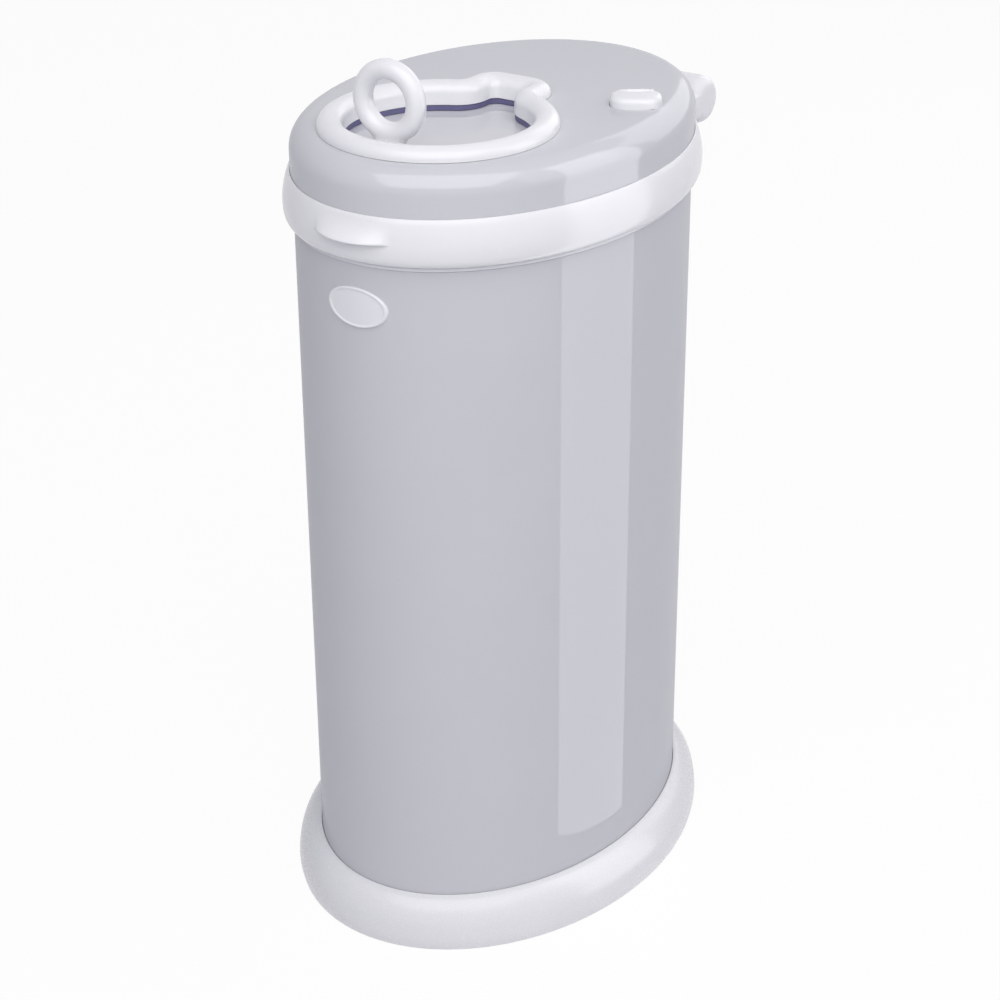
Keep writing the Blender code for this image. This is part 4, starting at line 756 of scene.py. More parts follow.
BAND_HEIGHT = 0.0285
BAND_SKIN = 0.0024
BAND_TOP = PARTING_Z + BAND_HEIGHT
BAND_CURVE_SHARES = (
    (0.10, 0.0), (0.57, 0.035), (0.89, 0.135), (1.0, 0.30),
    (0.985, 0.48), (0.825, 0.70), (0.57, 0.90), (0.37, 1.0),
)
FLANGE_REACH = 0.006
FLANGE_THICKNESS = 0.0022
SHELF_TOP = BAND_TOP - 0.0072
SHELF_REACH = 0.0015
SHELF_THICKNESS = 0.0022
COVER_OFFSET = 0.0012
LIP_HALF_WIDTH = 0.026
LIP_REACH = 0.0062
LIP_EDGE_Z = PARTING_Z + 0.545 * BAND_HEIGHT
LIP_EDGE = 0.0014
LIP_RISE = 0.0112
LIP_SLOPE = 0.0098
LIP_FULLNESS = 1.0
BARREL_HALF_LENGTH = 0.059
BARREL_ROUND = 0.0075
COWL_HALF_LENGTH = 0.031
POCKET_RADIUS = 0.0087
WEB_BELOW_AXIS = 0.0115
WEB_ABOVE_AXIS = 0.0095
WEB_FRONT_Y = HALF_LENGTH - 0.035 + AXIS_Y
HINGE_PLACE_Y = HINGE_Y + AXIS_Y
LID_SCREW_TURNS = (15.0, 65.0, 115.0, 165.0, 235.0, 305.0)
LID_SCREW_INSET = 0.0033
LID_SCREW_HEAD_RADIUS = 0.0022
LID_SCREW_HEAD_HEIGHT = 0.001


def band_lines():
    """The band's outer line without and with the full lip, point for point."""
    outer = smooth_line([(share * BAND_BULGE, PARTING_Z + rise * BAND_HEIGHT) for share, rise in BAND_CURVE_SHARES])
    under_z = LIP_EDGE_Z - LIP_EDGE
    top_z = LIP_EDGE_Z + LIP_RISE
    reach = BAND_BULGE + LIP_REACH
    start = (at_height(outer, under_z), under_z)
    plain = [point for point in outer if point[1] < under_z - 0.0003] + [start]
    lipped = list(plain)
    for share in (0.25, 0.6, 0.85, 0.95):
        plain.append(start)
        lipped.append((start[0] + share * (reach - LIP_EDGE / 2 - start[0]), under_z))
    edge = arc(reach - LIP_EDGE / 2, LIP_EDGE_Z - LIP_EDGE / 2, LIP_EDGE / 2, -90.0, 52.0, 8)
    for index, point in enumerate(edge):
        height = under_z + (LIP_EDGE_Z - under_z) * index / (len(edge) - 1)
        plain.append((at_height(outer, height), height))
        lipped.append(point)
    end = (at_height(outer, top_z), top_z)
    first, last = Vector(edge[-1]), Vector(end)
    first_pull = first + Vector((-LIP_SLOPE * 0.42, LIP_RISE * 0.20))
    last_pull = last - Vector((-0.28, 1.0)).normalized() * LIP_RISE * 0.42
    steps = 14
    for step in range(1, steps):
        t = step / steps
        spot = (
            first * (1 - t) ** 3 + first_pull * (3 * t * (1 - t) ** 2)
            + last_pull * (3 * t ** 2 * (1 - t)) + last * t ** 3
        )
        height = LIP_EDGE_Z + LIP_RISE * t
        plain.append((at_height(outer, height), height))
        lipped.append(tuple(spot))
    rest = [end] + [point for point in outer if point[1] > top_z + 0.0003]
    return plain + rest, lipped + rest, outer


def lip_share(turn):
    x, y, _ = oval_point(turn, BAND_BULGE)
    if y > AXIS_Y or abs(x) >= LIP_HALF_WIDTH:
        return 0.0
    return (1 - (x / LIP_HALF_WIDTH) ** 2) ** LIP_FULLNESS


def band_turns():
    """Stations round the band, closer together across the lip."""
    turns = [turn for turn in even_turns() if abs(turn - 270.0) > 16.0]
    turns += [254.4 + 31.2 * step / 60 for step in range(61)]
    return sorted(turns)


def band():
    plain, lipped, outer = band_lines()
    inner = skin_line(outer, BAND_SKIN)
    shelf_bottom = SHELF_TOP - SHELF_THICKNESS
    flange_top = PARTING_Z + FLANGE_THICKNESS
    seat = COVER_OFFSET + GAP
    rim = COVER_OFFSET + GAP / 3
    inside = [point for point in inner if flange_top < point[1] < shelf_bottom]
    closing = [
        (rim + 0.0003, BAND_TOP + 0.00012), (rim, BAND_TOP - 0.0002), (rim, BAND_TOP - 0.0012),
        (seat, BAND_TOP - 0.0016), (seat, SHELF_TOP),
        (-SHELF_REACH, SHELF_TOP), (-SHELF_REACH, shelf_bottom),
        (at_height(inner, shelf_bottom), shelf_bottom),
    ] + inside[::-1] + [
        (at_height(inner, flange_top), flange_top), (-FLANGE_REACH, flange_top), (-FLANGE_REACH, PARTING_Z),
    ]
    rings = []
    for turn in band_turns():
        share = lip_share(turn)
        line = [
            (low[0] + (high[0] - low[0]) * share, low[1] + (high[1] - low[1]) * share)
            for low, high in zip(plain, lipped)
        ] + closing
        rings.append([(*oval_point(turn, out)[:2], height) for out, height in line])
    shape = bmesh.new()
    loft(shape, rings, along=True)
    return shape


def hump():
    """The barrel over the hinge: round at the back, flowing forward into the band, with rounded ends."""
    straight = BARREL_HALF_LENGTH - BARREL_ROUND
    places = [-BARREL_HALF_LENGTH]
    places += [-straight - BARREL_ROUND * math.cos(math.radians(6.0 + 84.0 * step / 9)) for step in range(10)]
    places += [-straight + 2 * straight * step / 8 for step in range(1, 8)]
    places += [-place for place in places[:11][::-1]]
    rings = []
    for x in places:
        past = max(abs(x) - straight, 0.0) / BARREL_ROUND
        bulge = math.sqrt(max(1 - past ** 2, 0.0))
        radius = BARREL_RADIUS - BARREL_ROUND * (1 - bulge)
        scale = radius / BARREL_RADIUS
        front = BARREL_RADIUS - BARREL_ROUND + (HINGE_PLACE_Y - WEB_FRONT_Y - BARREL_RADIUS + BARREL_ROUND) * bulge
        top = smooth_line([
            (-front, WEB_ABOVE_AXIS * scale), (-max(front * 0.7, radius * 1.02), WEB_ABOVE_AXIS * scale),
            (-radius * 1.0, WEB_ABOVE_AXIS * scale * 1.05), (-radius * 0.62, radius * 0.83),
            (-radius * 0.30, radius * 0.955),
        ], 5)
        back = arc(0.0, 0.0, radius, 96.0, -110.0, 26)
        bottom = [(-radius * 0.62, -WEB_BELOW_AXIS * scale), (-front, -WEB_BELOW_AXIS * scale)]
        rings.append([(x, HINGE_PLACE_Y + y, HINGE_Z + z) for y, z in top + back + bottom])
    shape = bmesh.new()
    rows = loft(shape, rings)
    shape.faces.new(rows[0])
    shape.faces.new(rows[-1])
    return tidy(shape)


def lid_frame():
    lid_space = prism(oval(BAND_BULGE - BAND_SKIN / 2 - GAP), PARTING_Z - OVERRUN, SHELF_TOP)
    cover_space = prism(oval(COVER_OFFSET + GAP * 2), SHELF_TOP - GAP, COVER_TOP + OVERRUN)
    solid_hump = worked(hump(), [(CUT, lid_space), (CUT, cover_space)])
    room = block(
        (-COWL_HALF_LENGTH, WEB_FRONT_Y, PARTING_Z - OVERRUN),
        (COWL_HALF_LENGTH, HINGE_PLACE_Y + BARREL_RADIUS + OVERRUN, HINGE_Z),
    )
    kept = prism(oval(-0.002), PARTING_Z - OVERRUN * 2, BAND_TOP + OVERRUN)
    steps = [
        (JOIN, tidy(solid_hump)), (CUT, worked(room, [(CUT, kept)])),
        (CUT, rod_x(POCKET_RADIUS, -COWL_HALF_LENGTH, COWL_HALF_LENGTH, HINGE_PLACE_Y, HINGE_Z)),
    ]
    recess_top = PARTING_Z + GAP * 2 + LID_SCREW_HEAD_HEIGHT
    for turn in LID_SCREW_TURNS:
        radius = LID_SCREW_HEAD_RADIUS + GAP
        recess = [(0.0, -OVERRUN), (radius, -OVERRUN), (radius, recess_top - PARTING_Z),
                  (0.0, recess_top - PARTING_Z)]
        steps.append((CUT, tidy(turned(recess, 24, on_turn(turn, -LID_SCREW_INSET, PARTING_Z)))))
    return piece("bulged_lid_band", worked(band(), steps), "lid", GLOSS_WHITE, "lid_frame")


# Lid cover and the bezel round its opening

COVER_BOTTOM = SHELF_TOP + GAP
COVER_WALL = 0.001
COVER_EDGE_RADIUS = 0.0145
COVER_ROUND_STEPS = 14
RIM_WIDTH = 0.0155
RIM_HEIGHT = 0.0077
BEZEL_WALL = 0.0025
BEZEL_NECK = 0.0123
BEZEL_BEAD = 0.0112
BEZEL_BEAD_HEIGHT = 0.0014
LOCK_X = (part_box("lock_button")[0].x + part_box("lock_button")[1].x) / 2
LOCK_Y = (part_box("lock_button")[0].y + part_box("lock_button")[1].y) / 2
LOCK_TURN = 33.0
BUTTON_HALF_LENGTH = 0.0155
BUTTON_HALF_WIDTH = 0.0116
BUTTON_EXPONENT = 2.5
BUTTON_HOLE_GAP = 0.0004


def button_outline(out):
    return oblong(
        LOCK_X, LOCK_Y, BUTTON_HALF_LENGTH + out, BUTTON_HALF_WIDTH + out, BUTTON_EXPONENT, LOCK_TURN,
    )


def dish_line(offset, bottom, top, radius):
    """A dish's side, rounded edge and the start of its flat top."""
    return [
        (offset, bottom), (offset, top - radius - 0.0012),
        *[(offset - radius + out, top - radius + rise)
          for out, rise in arc(0.0, 0.0, radius, 0.0, 90.0, COVER_ROUND_STEPS)],
        (offset - radius - 0.0016, top),
    ]


def lid_cover():
    outside = dish_line(COVER_OFFSET, COVER_BOTTOM, COVER_TOP, COVER_EDGE_RADIUS)
    inside = dish_line(
        COVER_OFFSET - COVER_WALL, COVER_BOTTOM, COVER_TOP - COVER_WALL, COVER_EDGE_RADIUS - COVER_WALL,
    )
    shape = bmesh.new()
    line = outside[::-1] + inside
    rows = loft(shape, [ring_of(oval(out), height) for out, height in line])
    hole = keyhole(BEZEL_NECK - GAP)
    mouth = loft(shape, [ring_of(hole, COVER_TOP), ring_of(hole, COVER_TOP - COVER_WALL)])
    spot = button_outline(BUTTON_HOLE_GAP)
    window = loft(shape, [ring_of(spot, COVER_TOP), ring_of(spot, COVER_TOP - COVER_WALL)])
    fill(shape, rows[0], mouth[0], window[0])
    fill(shape, rows[-1], mouth[1], window[1])
    return piece("rounded_lid_cover", shape, "lid", LID_COAT, "lid_cover")


def opening_bezel():
    foot = COVER_TOP + GAP
    half = RIM_WIDTH / 2
    crest = RIM_HEIGHT - GAP
    rim = [
        (-half + half * math.cos(angle), foot + crest * math.sin(angle) ** 0.86)
        for angle in (math.pi * step / 22 for step in range(23))
    ]
    wall = -RIM_WIDTH + BEZEL_WALL
    bead_top = COVER_TOP - COVER_WALL - GAP
    section = [
        (-RIM_WIDTH + 0.0004, BEZEL_BOTTOM), (wall, BEZEL_BOTTOM),
        (wall, bead_top - BEZEL_BEAD_HEIGHT), (-BEZEL_BEAD, bead_top - BEZEL_BEAD_HEIGHT),
        (-BEZEL_BEAD, bead_top), (-BEZEL_NECK, bead_top), (-BEZEL_NECK, foot),
    ] + rim + [(-RIM_WIDTH, BEZEL_BOTTOM + 0.0016), (-RIM_WIDTH, BEZEL_BOTTOM + 0.0004)]
    return piece("rounded_opening_bezel", carried(moved_keyhole, section), "lid", GLOSS_WHITE, "opening_bezel")


def moved_keyhole(out):
    return keyhole(-out)


# A real seal under the bezel wall, whose dark violet colour is painted shadow of the gap above the door.
def door_seal():
    outer = -RIM_WIDTH + BEZEL_WALL - GAP
    inner = -RIM_WIDTH + 0.0005
    section = rounded([
        (inner, DOOR_TOP + GAP, 0.0002), (outer, DOOR_TOP + GAP, 0.0002),
        (outer, BEZEL_BOTTOM - GAP, 0.0002), (inner, BEZEL_BOTTOM - GAP, 0.0002),
    ], 3)
    return piece("soft_door_seal", carried(moved_keyhole, section), "lid", SEAL_PAINTED_SHADOW, "door_seal")


# Under the lid: panel, throat and seal

THROAT_RADIUS = MOUTH_RADIUS - RIM_WIDTH
THROAT_WALL = 0.002
PANEL_THICKNESS = 0.0022
PANEL_EDGE = 0.0005
PANEL_BEAD_OUT = -0.0155
LID_SEAL_OFFSET = 0.0075
LID_SEAL_WIDTH = 0.003


def inner_lid_panel():
    """The panel with a pressed bead round it and a throat with a rolled lower edge."""
    top = PANEL_BOTTOM + PANEL_THICKNESS
    edge_line = rounded([
        (PANEL_BEAD_OUT - 0.004, PANEL_BOTTOM, 0.0), (PANEL_BEAD_OUT - 0.0028, PANEL_BOTTOM, 0.0008),
        (PANEL_BEAD_OUT - 0.0016, PANEL_BOTTOM + 0.0009, 0.0006),
        (PANEL_BEAD_OUT + 0.0016, PANEL_BOTTOM + 0.0009, 0.0006),
        (PANEL_BEAD_OUT + 0.0028, PANEL_BOTTOM, 0.0008),
        (PANEL_EDGE, PANEL_BOTTOM, 0.0007), (PANEL_EDGE, top, 0.0007), (PANEL_BEAD_OUT - 0.004, top, 0.0),
    ], 4, closed=False)
    shape = bmesh.new()
    rows = loft(shape, [ring_of(oval(out), height) for out, height in edge_line])
    throat_line = rounded([
        (THROAT_RADIUS + 0.006, PANEL_BOTTOM, 0.0), (THROAT_RADIUS, PANEL_BOTTOM, 0.0021),
        (THROAT_RADIUS, PANEL_THROAT_TOP, 0.0006), (THROAT_RADIUS + THROAT_WALL, PANEL_THROAT_TOP, 0.0006),
        (THROAT_RADIUS + THROAT_WALL, top, 0.0), (THROAT_RADIUS + 0.006, top, 0.0),
    ], 6, closed=False)
    rings = [ring_of(arc(0.0, MOUTH_Y, radius, 0.0, 360.0, 112)[:-1], height) for radius, height in throat_line]
    throat = loft(shape, rings)
    fill(shape, rows[0], throat[0])
    fill(shape, rows[-1], throat[-1])
    return piece("panel_with_throat", shape, "lid", SATIN_WHITE, "inner_lid_panel")


def lid_seal():
    outer = -LID_SEAL_OFFSET
    inner = outer - LID_SEAL_WIDTH
    bottom = BAG_RING_TOP + GAP
    top = PANEL_BOTTOM - GAP
    section = rounded([
        (inner, bottom, 0.0011), (outer, bottom, 0.0011), (outer, top, 0.0004), (inner, top, 0.0004),
    ])
    return piece("soft_lid_seal", carried(oval, section), "lid", FOOT_RUBBER, "lid_seal")


# Door and its ring

DOOR_RADIUS = THROAT_RADIUS + 0.0042
DOOR_REAR_Y = MOUTH_Y + 0.0213
HANDLE_Y = MOUTH_Y - MOUTH_RADIUS + 0.0235
HANDLE_CENTRE_Z = COVER_TOP + 0.0266
HANDLE_RING_RADIUS = 0.0182
HANDLE_TUBE_RADIUS = 0.0059
HANDLE_SCREW_PLACES = (-0.006, 0.006)
HANDLE_SCREW_HEAD_RADIUS = 0.0026
HANDLE_SCREW_HEAD_HEIGHT = 0.0011
STEM_LEVELS = (
    (0.0, 0.0103, 0.0062), (0.0030, 0.0098, 0.0057), (0.0080, 0.0095, 0.0055), (0.0125, 0.0100, 0.0055),
    (0.0155, 0.0117, 0.0054), (0.0185, 0.0138, 0.0050), (0.0215, 0.0150, 0.0042),
)


def slide_door():
    line = rounded([
        (-0.004, DOOR_BOTTOM, 0.0), (0.0, DOOR_BOTTOM, 0.0005), (0.0, DOOR_TOP, 0.0006),
        (-0.004, DOOR_TOP, 0.0),
    ], 5, closed=False)
    shape = bmesh.new()
    rows = loft(shape, [
        ring_of(stadium(DOOR_RADIUS + out, MOUTH_Y, DOOR_REAR_Y), height) for out, height in line
    ])
    fill(shape, rows[0])
    fill(shape, rows[-1])
    steps = []
    for x in HANDLE_SCREW_PLACES:
        radius = HANDLE_SCREW_HEAD_RADIUS + GAP
        depth = GAP * 2 + HANDLE_SCREW_HEAD_HEIGHT
        recess = [(0.0, -OVERRUN), (radius, -OVERRUN), (radius, depth), (0.0, depth)]
        steps.append((CUT, tidy(turned(recess, 24, Matrix.Translation((x, HANDLE_Y, DOOR_BOTTOM))))))
    return piece("gloss_slide_door", worked(shape, steps), "door", DOOR_GREY, "slide_door")


def ring_handle():
    """The ring and its stem, run together into one flowing form."""
    shape = bmesh.new()
    rings = []
    for step in range(96):
        angle = math.tau * step / 96
        centre = Vector((HANDLE_RING_RADIUS * math.cos(angle), 0.0, HANDLE_RING_RADIUS * math.sin(angle)))
        outward = centre.normalized()
        ring = []
        for across, along in arc(0.0, 0.0, HANDLE_TUBE_RADIUS, 0.0, 360.0, 32)[:-1]:
            ring.append(Vector((0.0, HANDLE_Y, HANDLE_CENTRE_Z)) + centre + outward * across
                        + Vector((0.0, along, 0.0)))
        rings.append(ring)
    loft(shape, rings, along=True)
    stem = bmesh.new()
    foot = DOOR_TOP + GAP
    rows = loft(stem, [
        ring_of(oblong(0.0, HANDLE_Y, half_width, half_depth, 2.8, 0.0), foot + level)
        for level, half_width, half_depth in STEM_LEVELS
    ])
    fill(stem, rows[0])
    fill(stem, rows[-1])
    joined = worked(shape, [(JOIN, tidy(stem))])
    made = loose("ring_being_smoothed", joined)
    remesh = made.modifiers.new("even_skin", "REMESH")
    remesh.mode = "VOXEL"
    remesh.voxel_size = 0.0008
    soften = made.modifiers.new("soften", "SMOOTH")
    soften.factor = 0.5
    soften.iterations = 14
    return piece("flowing_ring_handle", settled(made), "door", LIT_RING_WHITE, "ring_handle", sharp=60.0)


# Lock button

BUTTON_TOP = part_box("lock_button")[1].z
BUTTON_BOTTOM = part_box("lock_button")[0].z
BUTTON_ROUND = 0.0035
BUTTON_CROWN = 0.0007
RIDGE_RADII = (0.0042, 0.0064, 0.0086)
RIDGE_HALF_WIDTH = 0.0006
RIDGE_RISE = 0.0006


def button_crown(share):
    """How high the button's top stands over its rounded edge; the share is 0 in the middle and 1 at the edge."""
    return BUTTON_TOP - BUTTON_CROWN + BUTTON_CROWN * (1 - share ** 2)


def lock_button():
    inner = BUTTON_HALF_WIDTH - BUTTON_ROUND
    line = [(0.0, BUTTON_BOTTOM), (0.0, BUTTON_TOP - BUTTON_CROWN - BUTTON_ROUND - 0.0005)]
    line += [
        (-BUTTON_ROUND + out, BUTTON_TOP - BUTTON_CROWN - BUTTON_ROUND + rise)
        for out, rise in arc(0.0, 0.0, BUTTON_ROUND, 0.0, 86.0, 12)
    ]
    for share in (0.85, 0.65, 0.45, 0.25, 0.10):
        line.append((-BUTTON_HALF_WIDTH + inner * share, button_crown(share)))
    shape = bmesh.new()
    rows = loft(shape, [ring_of(button_outline(out), height) for out, height in line])
    shape.faces.new(rows[0])
    shape.faces.new(rows[-1])
    swing = Matrix.Translation((LOCK_X, LOCK_Y, 0.0)) @ Matrix.Rotation(math.radians(LOCK_TURN), 4, "Z")
    hub = BUTTON_HALF_WIDTH - BUTTON_ROUND * 0.75
    across_line = [(-1.0, -0.6), (-0.7, 0.5), (-0.3, 0.93), (0.3, 0.93), (0.7, 0.5), (1.0, -0.6)]
    for radius in RIDGE_RADII:
        rings = []
        reach = 82.0 if radius < hub * 1.1 else 62.0
        for step in range(25):
            angle = math.radians(-90.0 - reach + 2 * reach * step / 24)
            end = 1 - abs(step - 12) / 12
            width = RIDGE_HALF_WIDTH * min(1.0, 0.25 + end * 6)
            rise = RIDGE_RISE * min(1.0, end * 5)
            ring = []
            for across, lift in across_line:
                along = (radius + across * width) * math.cos(angle) * 1.25
                up = hub + (radius + across * width) * math.sin(angle) * 0.80
                share = min(max(abs(up) / inner, 0.0), 1.0)
                height = button_crown(share) + lift * rise - 0.00006
                ring.append(swing @ Vector((along, up, height)))
            rings.append(ring)
        rows = loft(shape, rings)
        shape.faces.new(rows[0])
        shape.faces.new(rows[-1])
    return piece("crowned_lock_button", shape, "lock", GLOSS_WHITE, "lock_button")


SPRING_WIRE = 0.0004
SPRING_TURNS = 4
SPRING_STEPS = 24


def lock_spring():
    """The coil under the plunger, drawn at its resting length; the real coil shortens as the button is pressed."""
    low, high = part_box("lock_spring")
    radius = (high.x - low.x) / 2 - SPRING_WIRE
    bottom = low.z + SPRING_WIRE
    climb = high.z - low.z - SPRING_WIRE * 2
    count = SPRING_TURNS * SPRING_STEPS
    up = Vector((0.0, 0.0, 1.0))
    rings = []
    for step in range(count + 1):
        angle = math.tau * step / SPRING_STEPS
        out = Vector((math.cos(angle), math.sin(angle), 0.0))
        middle = Vector((LOCK_X, LOCK_Y, bottom + climb * step / count)) + out * radius
        turns = [math.tau * side / 8 for side in range(8)]
        rings.append([middle + (out * math.cos(turn) + up * math.sin(turn)) * SPRING_WIRE for turn in turns])
    shape = bmesh.new()
    rows = loft(shape, rings)
    shape.faces.new(rows[0])
    shape.faces.new(rows[-1])
    made = piece("zinc_lock_spring", shape, "lid", STEEL, "lock_spring")
    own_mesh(made)
    return made


# Hinge bracket, rivets and cap

BRACKET_HALF = COWL_HALF_LENGTH - GAP * 2
BRACKET_PLATE = 0.0027
BRACKET_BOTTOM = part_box("hinge_bracket")[0].z
BRACKET_GUSSET_Z = SHELL_TOP - 0.0155
ARM_FRONT_Y = HALF_LENGTH + 0.0016 + AXIS_Y
ARM_REAR_Y = ARM_FRONT_Y + 0.0048
KNUCKLE_RADIUS = 0.008
RIVET_TURNS = (81.0, 99.0)
UPPER_RIVET_Z = SHELL_TOP - COLLAR_DEPTH - 0.0075
RIVET_HEIGHTS = (UPPER_RIVET_Z - 0.020, UPPER_RIVET_Z)
RIVET_HEAD_RADIUS = 0.0034
RIVET_HEAD_HEIGHT = 0.0014
CAP_RADIUS = 0.0055
CAP_THICKNESS = 0.0014


def hinge_bracket():
    """A plate on the shell's back that rises through the lid frame to the knuckle."""
    rings = []
    for step in range(33):
        x = -BRACKET_HALF + 2 * BRACKET_HALF * step / 32
        shell_y = oval_y(x, GAP)
        plate_y = oval_y(x, GAP + BRACKET_PLATE)
        line = rounded([
            (shell_y, BRACKET_BOTTOM, 0.0), (plate_y, BRACKET_BOTTOM, 0.0009),
            (plate_y, BRACKET_GUSSET_Z - 0.002, 0.004), (ARM_REAR_Y, BRACKET_GUSSET_Z + 0.0045, 0.003),
            (ARM_REAR_Y, HINGE_Z - 0.0066, 0.0),
        ], 5, closed=False)
        line += [
            (HINGE_PLACE_Y + y, HINGE_Z + z) for y, z in arc(0.0, 0.0, KNUCKLE_RADIUS, -124.0, 158.0, 34)
        ]
        line += [(ARM_FRONT_Y, HINGE_Z), (ARM_FRONT_Y, SHELL_TOP), (shell_y, SHELL_TOP)]
        rings.append([(x, y, z) for y, z in line])
    shape = bmesh.new()
    rows = loft(shape, rings)
    fill(shape, rows[0])
    fill(shape, rows[-1])
    bore = rod_x(0.0027, -BRACKET_HALF - OVERRUN, BRACKET_HALF + OVERRUN, HINGE_PLACE_Y, HINGE_Z, 24)
    return piece("rounded_hinge_bracket", worked(shape, [(CUT, bore)]), "body", SATIN_WHITE, "hinge_bracket")


def dome(radius, height, base=0.0, steps=7):
    """A low domed head, from its foot to its crown."""
    return [(radius, base)] + [
        (radius * math.cos(angle), base + height * (0.28 + 0.72 * math.sin(angle)))
        for angle in (math.pi / 2 * step / steps for step in range(steps + 1))
    ]


def bracket_rivets():
    outer = GAP + BRACKET_PLATE + GAP
    number = 0
    for height in RIVET_HEIGHTS:
        for turn in RIVET_TURNS:
            number += 1
            x, y, outward = oval_point(turn, 0.0)
            lean = math.atan2(outward.y, outward.x)
            place = (Matrix.Translation((x, y, height)) @ Matrix.Rotation(lean, 4, "Z")
                     @ Matrix.Rotation(math.pi / 2, 4, "Y"))
            inner = -SHELL_WALL - GAP
            profile = [(radius, inner * 2 - z) for radius, z in dome(RIVET_HEAD_RADIUS, RIVET_HEAD_HEIGHT, inner)][::-1]
            profile += [(0.0016, inner), (0.0016, outer)] + dome(RIVET_HEAD_RADIUS, RIVET_HEAD_HEIGHT, outer)
            piece(f"domed_rivet_{number}", turned(profile, 32, place), "body", STEEL, f"bracket_rivet_{number}")


def hinge_cap():
    face = BARREL_HALF_LENGTH + GAP
    place = Matrix.Translation((0.0, HINGE_PLACE_Y, HINGE_Z)) @ Matrix.Rotation(-math.pi / 2, 4, "Y")
    profile = [(0.0, face - 0.006), (0.0024, face - 0.006), (0.0024, face)]
    profile += dome(CAP_RADIUS, CAP_THICKNESS, face)
    return piece("domed_hinge_cap", turned(profile, 36, place), "lid", GLOSS_WHITE, "hinge_cap")


# Screws with a cross recess

def screw_shape(head_radius, head_height, shank_radius, shank_length):
    """A pan-head screw pointing up, its head's crown at the bottom, with a cross cut in it."""
    head = [(radius, -height) for radius, height in dome(head_radius, head_height)][::-1]
    profile = [(radius, height + head_height) for radius, height in head]
    profile += [(shank_radius, head_height), (shank_radius, head_height + shank_length), (0.0, head_height + shank_length)]
    arm, thin, deep = head_radius * 0.62, head_radius * 0.15, head_height * 0.55
    return worked(turned(profile, 32), [
        (CUT, block((-arm, -thin, -deep), (arm, thin, deep))),
        (CUT, block((-thin, -arm, -deep), (thin, arm, deep))),
    ])


def screws(name, node, places, body, head_radius, head_height, shank_radius, shank_length):
    for number, place in enumerate(places, 1):
        shape = screw_shape(head_radius, head_height, shank_radius, shank_length)
        bmesh.ops.transform(shape, matrix=place @ Matrix.Rotation(0.4 + number, 4, "Z"), verts=shape.verts)
        piece(f"{name}_{number}", shape, body, STEEL, f"{node}_{number}")


def base_screws():
    head_bottom = LEDGE_TOP - LEDGE_THICKNESS - GAP - 0.0013
    places = [on_turn(turn, -(LEDGE_REACH + SHELL_WALL) / 2, head_bottom) for turn in BASE_SCREW_TURNS]
    screws("cross_base_screw", "base_screw", places, "body", 0.0026, 0.0013, 0.0014, 0.0068)


def lid_screws():
    places = [on_turn(turn, -LID_SCREW_INSET, PARTING_Z + GAP) for turn in LID_SCREW_TURNS]
    screws("cross_lid_screw", "lid_screw", places, "lid", LID_SCREW_HEAD_RADIUS, LID_SCREW_HEAD_HEIGHT, 0.0012, 0.009)


def handle_screws():
    places = [Matrix.Translation((x, HANDLE_Y, DOOR_BOTTOM + GAP)) for x in HANDLE_SCREW_PLACES]
    screws("cross_handle_screw", "handle_screw", places, "door",
           HANDLE_SCREW_HEAD_RADIUS, HANDLE_SCREW_HEAD_HEIGHT, 0.0013, 0.0085)


def finish_kept_nodes():
    """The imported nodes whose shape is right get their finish."""
    kept = {
        "hinge_pin": STEEL, "door_rail_left": SATIN_WHITE,
        "door_rail_right": SATIN_WHITE, "lock_housing": SATIN_WHITE, "lock_plunger": SATIN_WHITE,
    }
    kept.update({f"panel_screw_{number}": STEEL for number in range(1, 7)})
    for name, look in kept.items():
        node = frame["nodes"][name]
        for slot in node.material_slots:
            slot.material = look.material


# Floor, lamps and camera

FLOOR_HALF = 30.0
FLOOR_SHADOW_SHARE = 0.05
AMBIENT = 0.13


def is_seen(look):
    """1 for rays that should meet the plain white background."""
    rays = [look.node("ShaderNodeLightPath", output=kind) for kind in ("Is Camera Ray", "Is Glossy Ray", "Is Transmission Ray")]
    total = rays[0] + rays[1] + rays[2]
    return look.node("ShaderNodeMath", {"operation": "MINIMUM"}, {0: total, 1: 1.0})


def floor():
    look = Look("pale_floor", "none", Roughness=0.9)
    tone = look.noise(3.0, 2.0)
    look.feed("Base Color", look.blend(tone, shade(0.89, 0.89, 0.895), shade(0.91, 0.91, 0.915)))
    glow = look.node("ShaderNodeEmission", {}, {"Color": shade(1.0, 1.0, 1.0), "Strength": 1.0})
    share = is_seen(look) * (1 - FLOOR_SHADOW_SHARE)
    seen = look.node("ShaderNodeMixShader", {}, {0: share, 1: Value(look, look.shader.outputs[0]), 2: glow})
    look.tree.links.new(seen.socket, look.tree.nodes["Material Output"].inputs["Surface"])
    shape = bmesh.new()
    corners = [(-1, -1), (1, -1), (1, 1), (-1, 1)]
    shape.faces.new([shape.verts.new((x * FLOOR_HALF, y * FLOOR_HALF, 0.0)) for x, y in corners])
    made = loose("floor", shape)
    made.data.materials.append(look.material)
    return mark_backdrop(made)


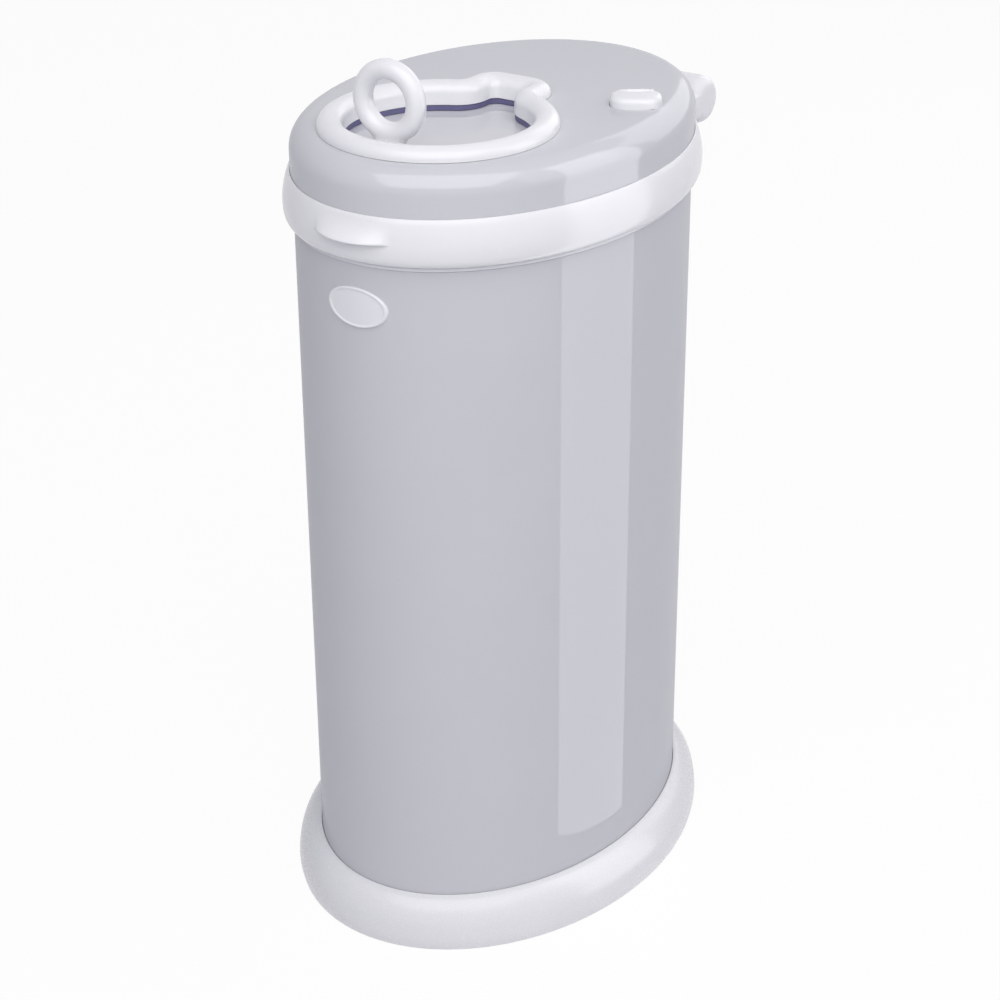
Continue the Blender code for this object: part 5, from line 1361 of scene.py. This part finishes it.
def world():
    made = bpy.data.worlds.new("white_studio")
    made.use_nodes = True
    bpy.context.scene.world = made
    room = Look("white_studio", None, tree=made.node_tree)
    dim = shade(AMBIENT, AMBIENT, AMBIENT * 1.4)
    colour = room.blend(is_seen(room), dim, shade(1.0, 1.0, 1.0))
    room.tree.links.new(colour.socket, made.node_tree.nodes["Background"].inputs["Color"])


def lamp(name, place, target, width, height, power, colour=(1.0, 1.0, 1.0)):
    data = bpy.data.lights.new(name, "AREA")
    data.shape = "RECTANGLE"
    data.size = width
    data.size_y = height
    data.energy = power
    data.color = colour
    made = bpy.data.objects.new(name, data)
    bpy.context.scene.collection.objects.link(made)
    made.location = place
    made.rotation_euler = (Vector(target) - Vector(place)).to_track_quat("-Z", "Y").to_euler()
    made.visible_camera = False
    return made


def lamps():
    middle = (0.0, 0.0, 0.42)
    lamp("soft_key", (0.60, -1.06, 1.88), middle, 2.6, 2.0, 37.5)
    lamp("side_fill", (1.75, 0.45, 1.50), middle, 1.8, 1.8, 6.5)
    lamp("rear_fill", (0.30, 1.70, 1.15), middle, 1.8, 1.3, 9.0)
    strip = lamp("tall_strip", (0.163, -0.014, 0.312), (0.0, -0.040, 0.312), 0.100, 0.612, 0.46)
    strip.visible_diffuse = False


def camera():
    data = bpy.data.cameras.new("photo_camera")
    data.lens = 84.74
    data.sensor_width = 36.0
    data.shift_x = 0.00053
    data.clip_end = 100.0
    made = bpy.data.objects.new("photo_camera", data)
    bpy.context.scene.collection.objects.link(made)
    right = Vector((0.837, 0.5472, -0.0055)).normalized()
    forward = Vector((-0.4903, 0.7454, -0.4516)).normalized()
    up = right.cross(forward).normalized()
    turn = Matrix((right, up, -forward)).transposed().to_4x4()
    made.matrix_world = Matrix.Translation((0.7507, -1.1412 + AXIS_Y, 0.9380)) @ turn
    bpy.context.scene.camera = made


base_rim()
feet()
floor_pan()
base_screws()
body_shell()
shell_seam()
badge()
top_collar()
bag_ring()
lid_frame()
lid_cover()
opening_bezel()
door_seal()
inner_lid_panel()
lid_seal()
lid_screws()
slide_door()
ring_handle()
handle_screws()
lock_button()
lock_spring()
hinge_bracket()
bracket_rivets()
hinge_cap()
finish_kept_nodes()
floor()
world()
lamps()
camera()
bpy.context.scene.view_settings.view_transform = "Standard"
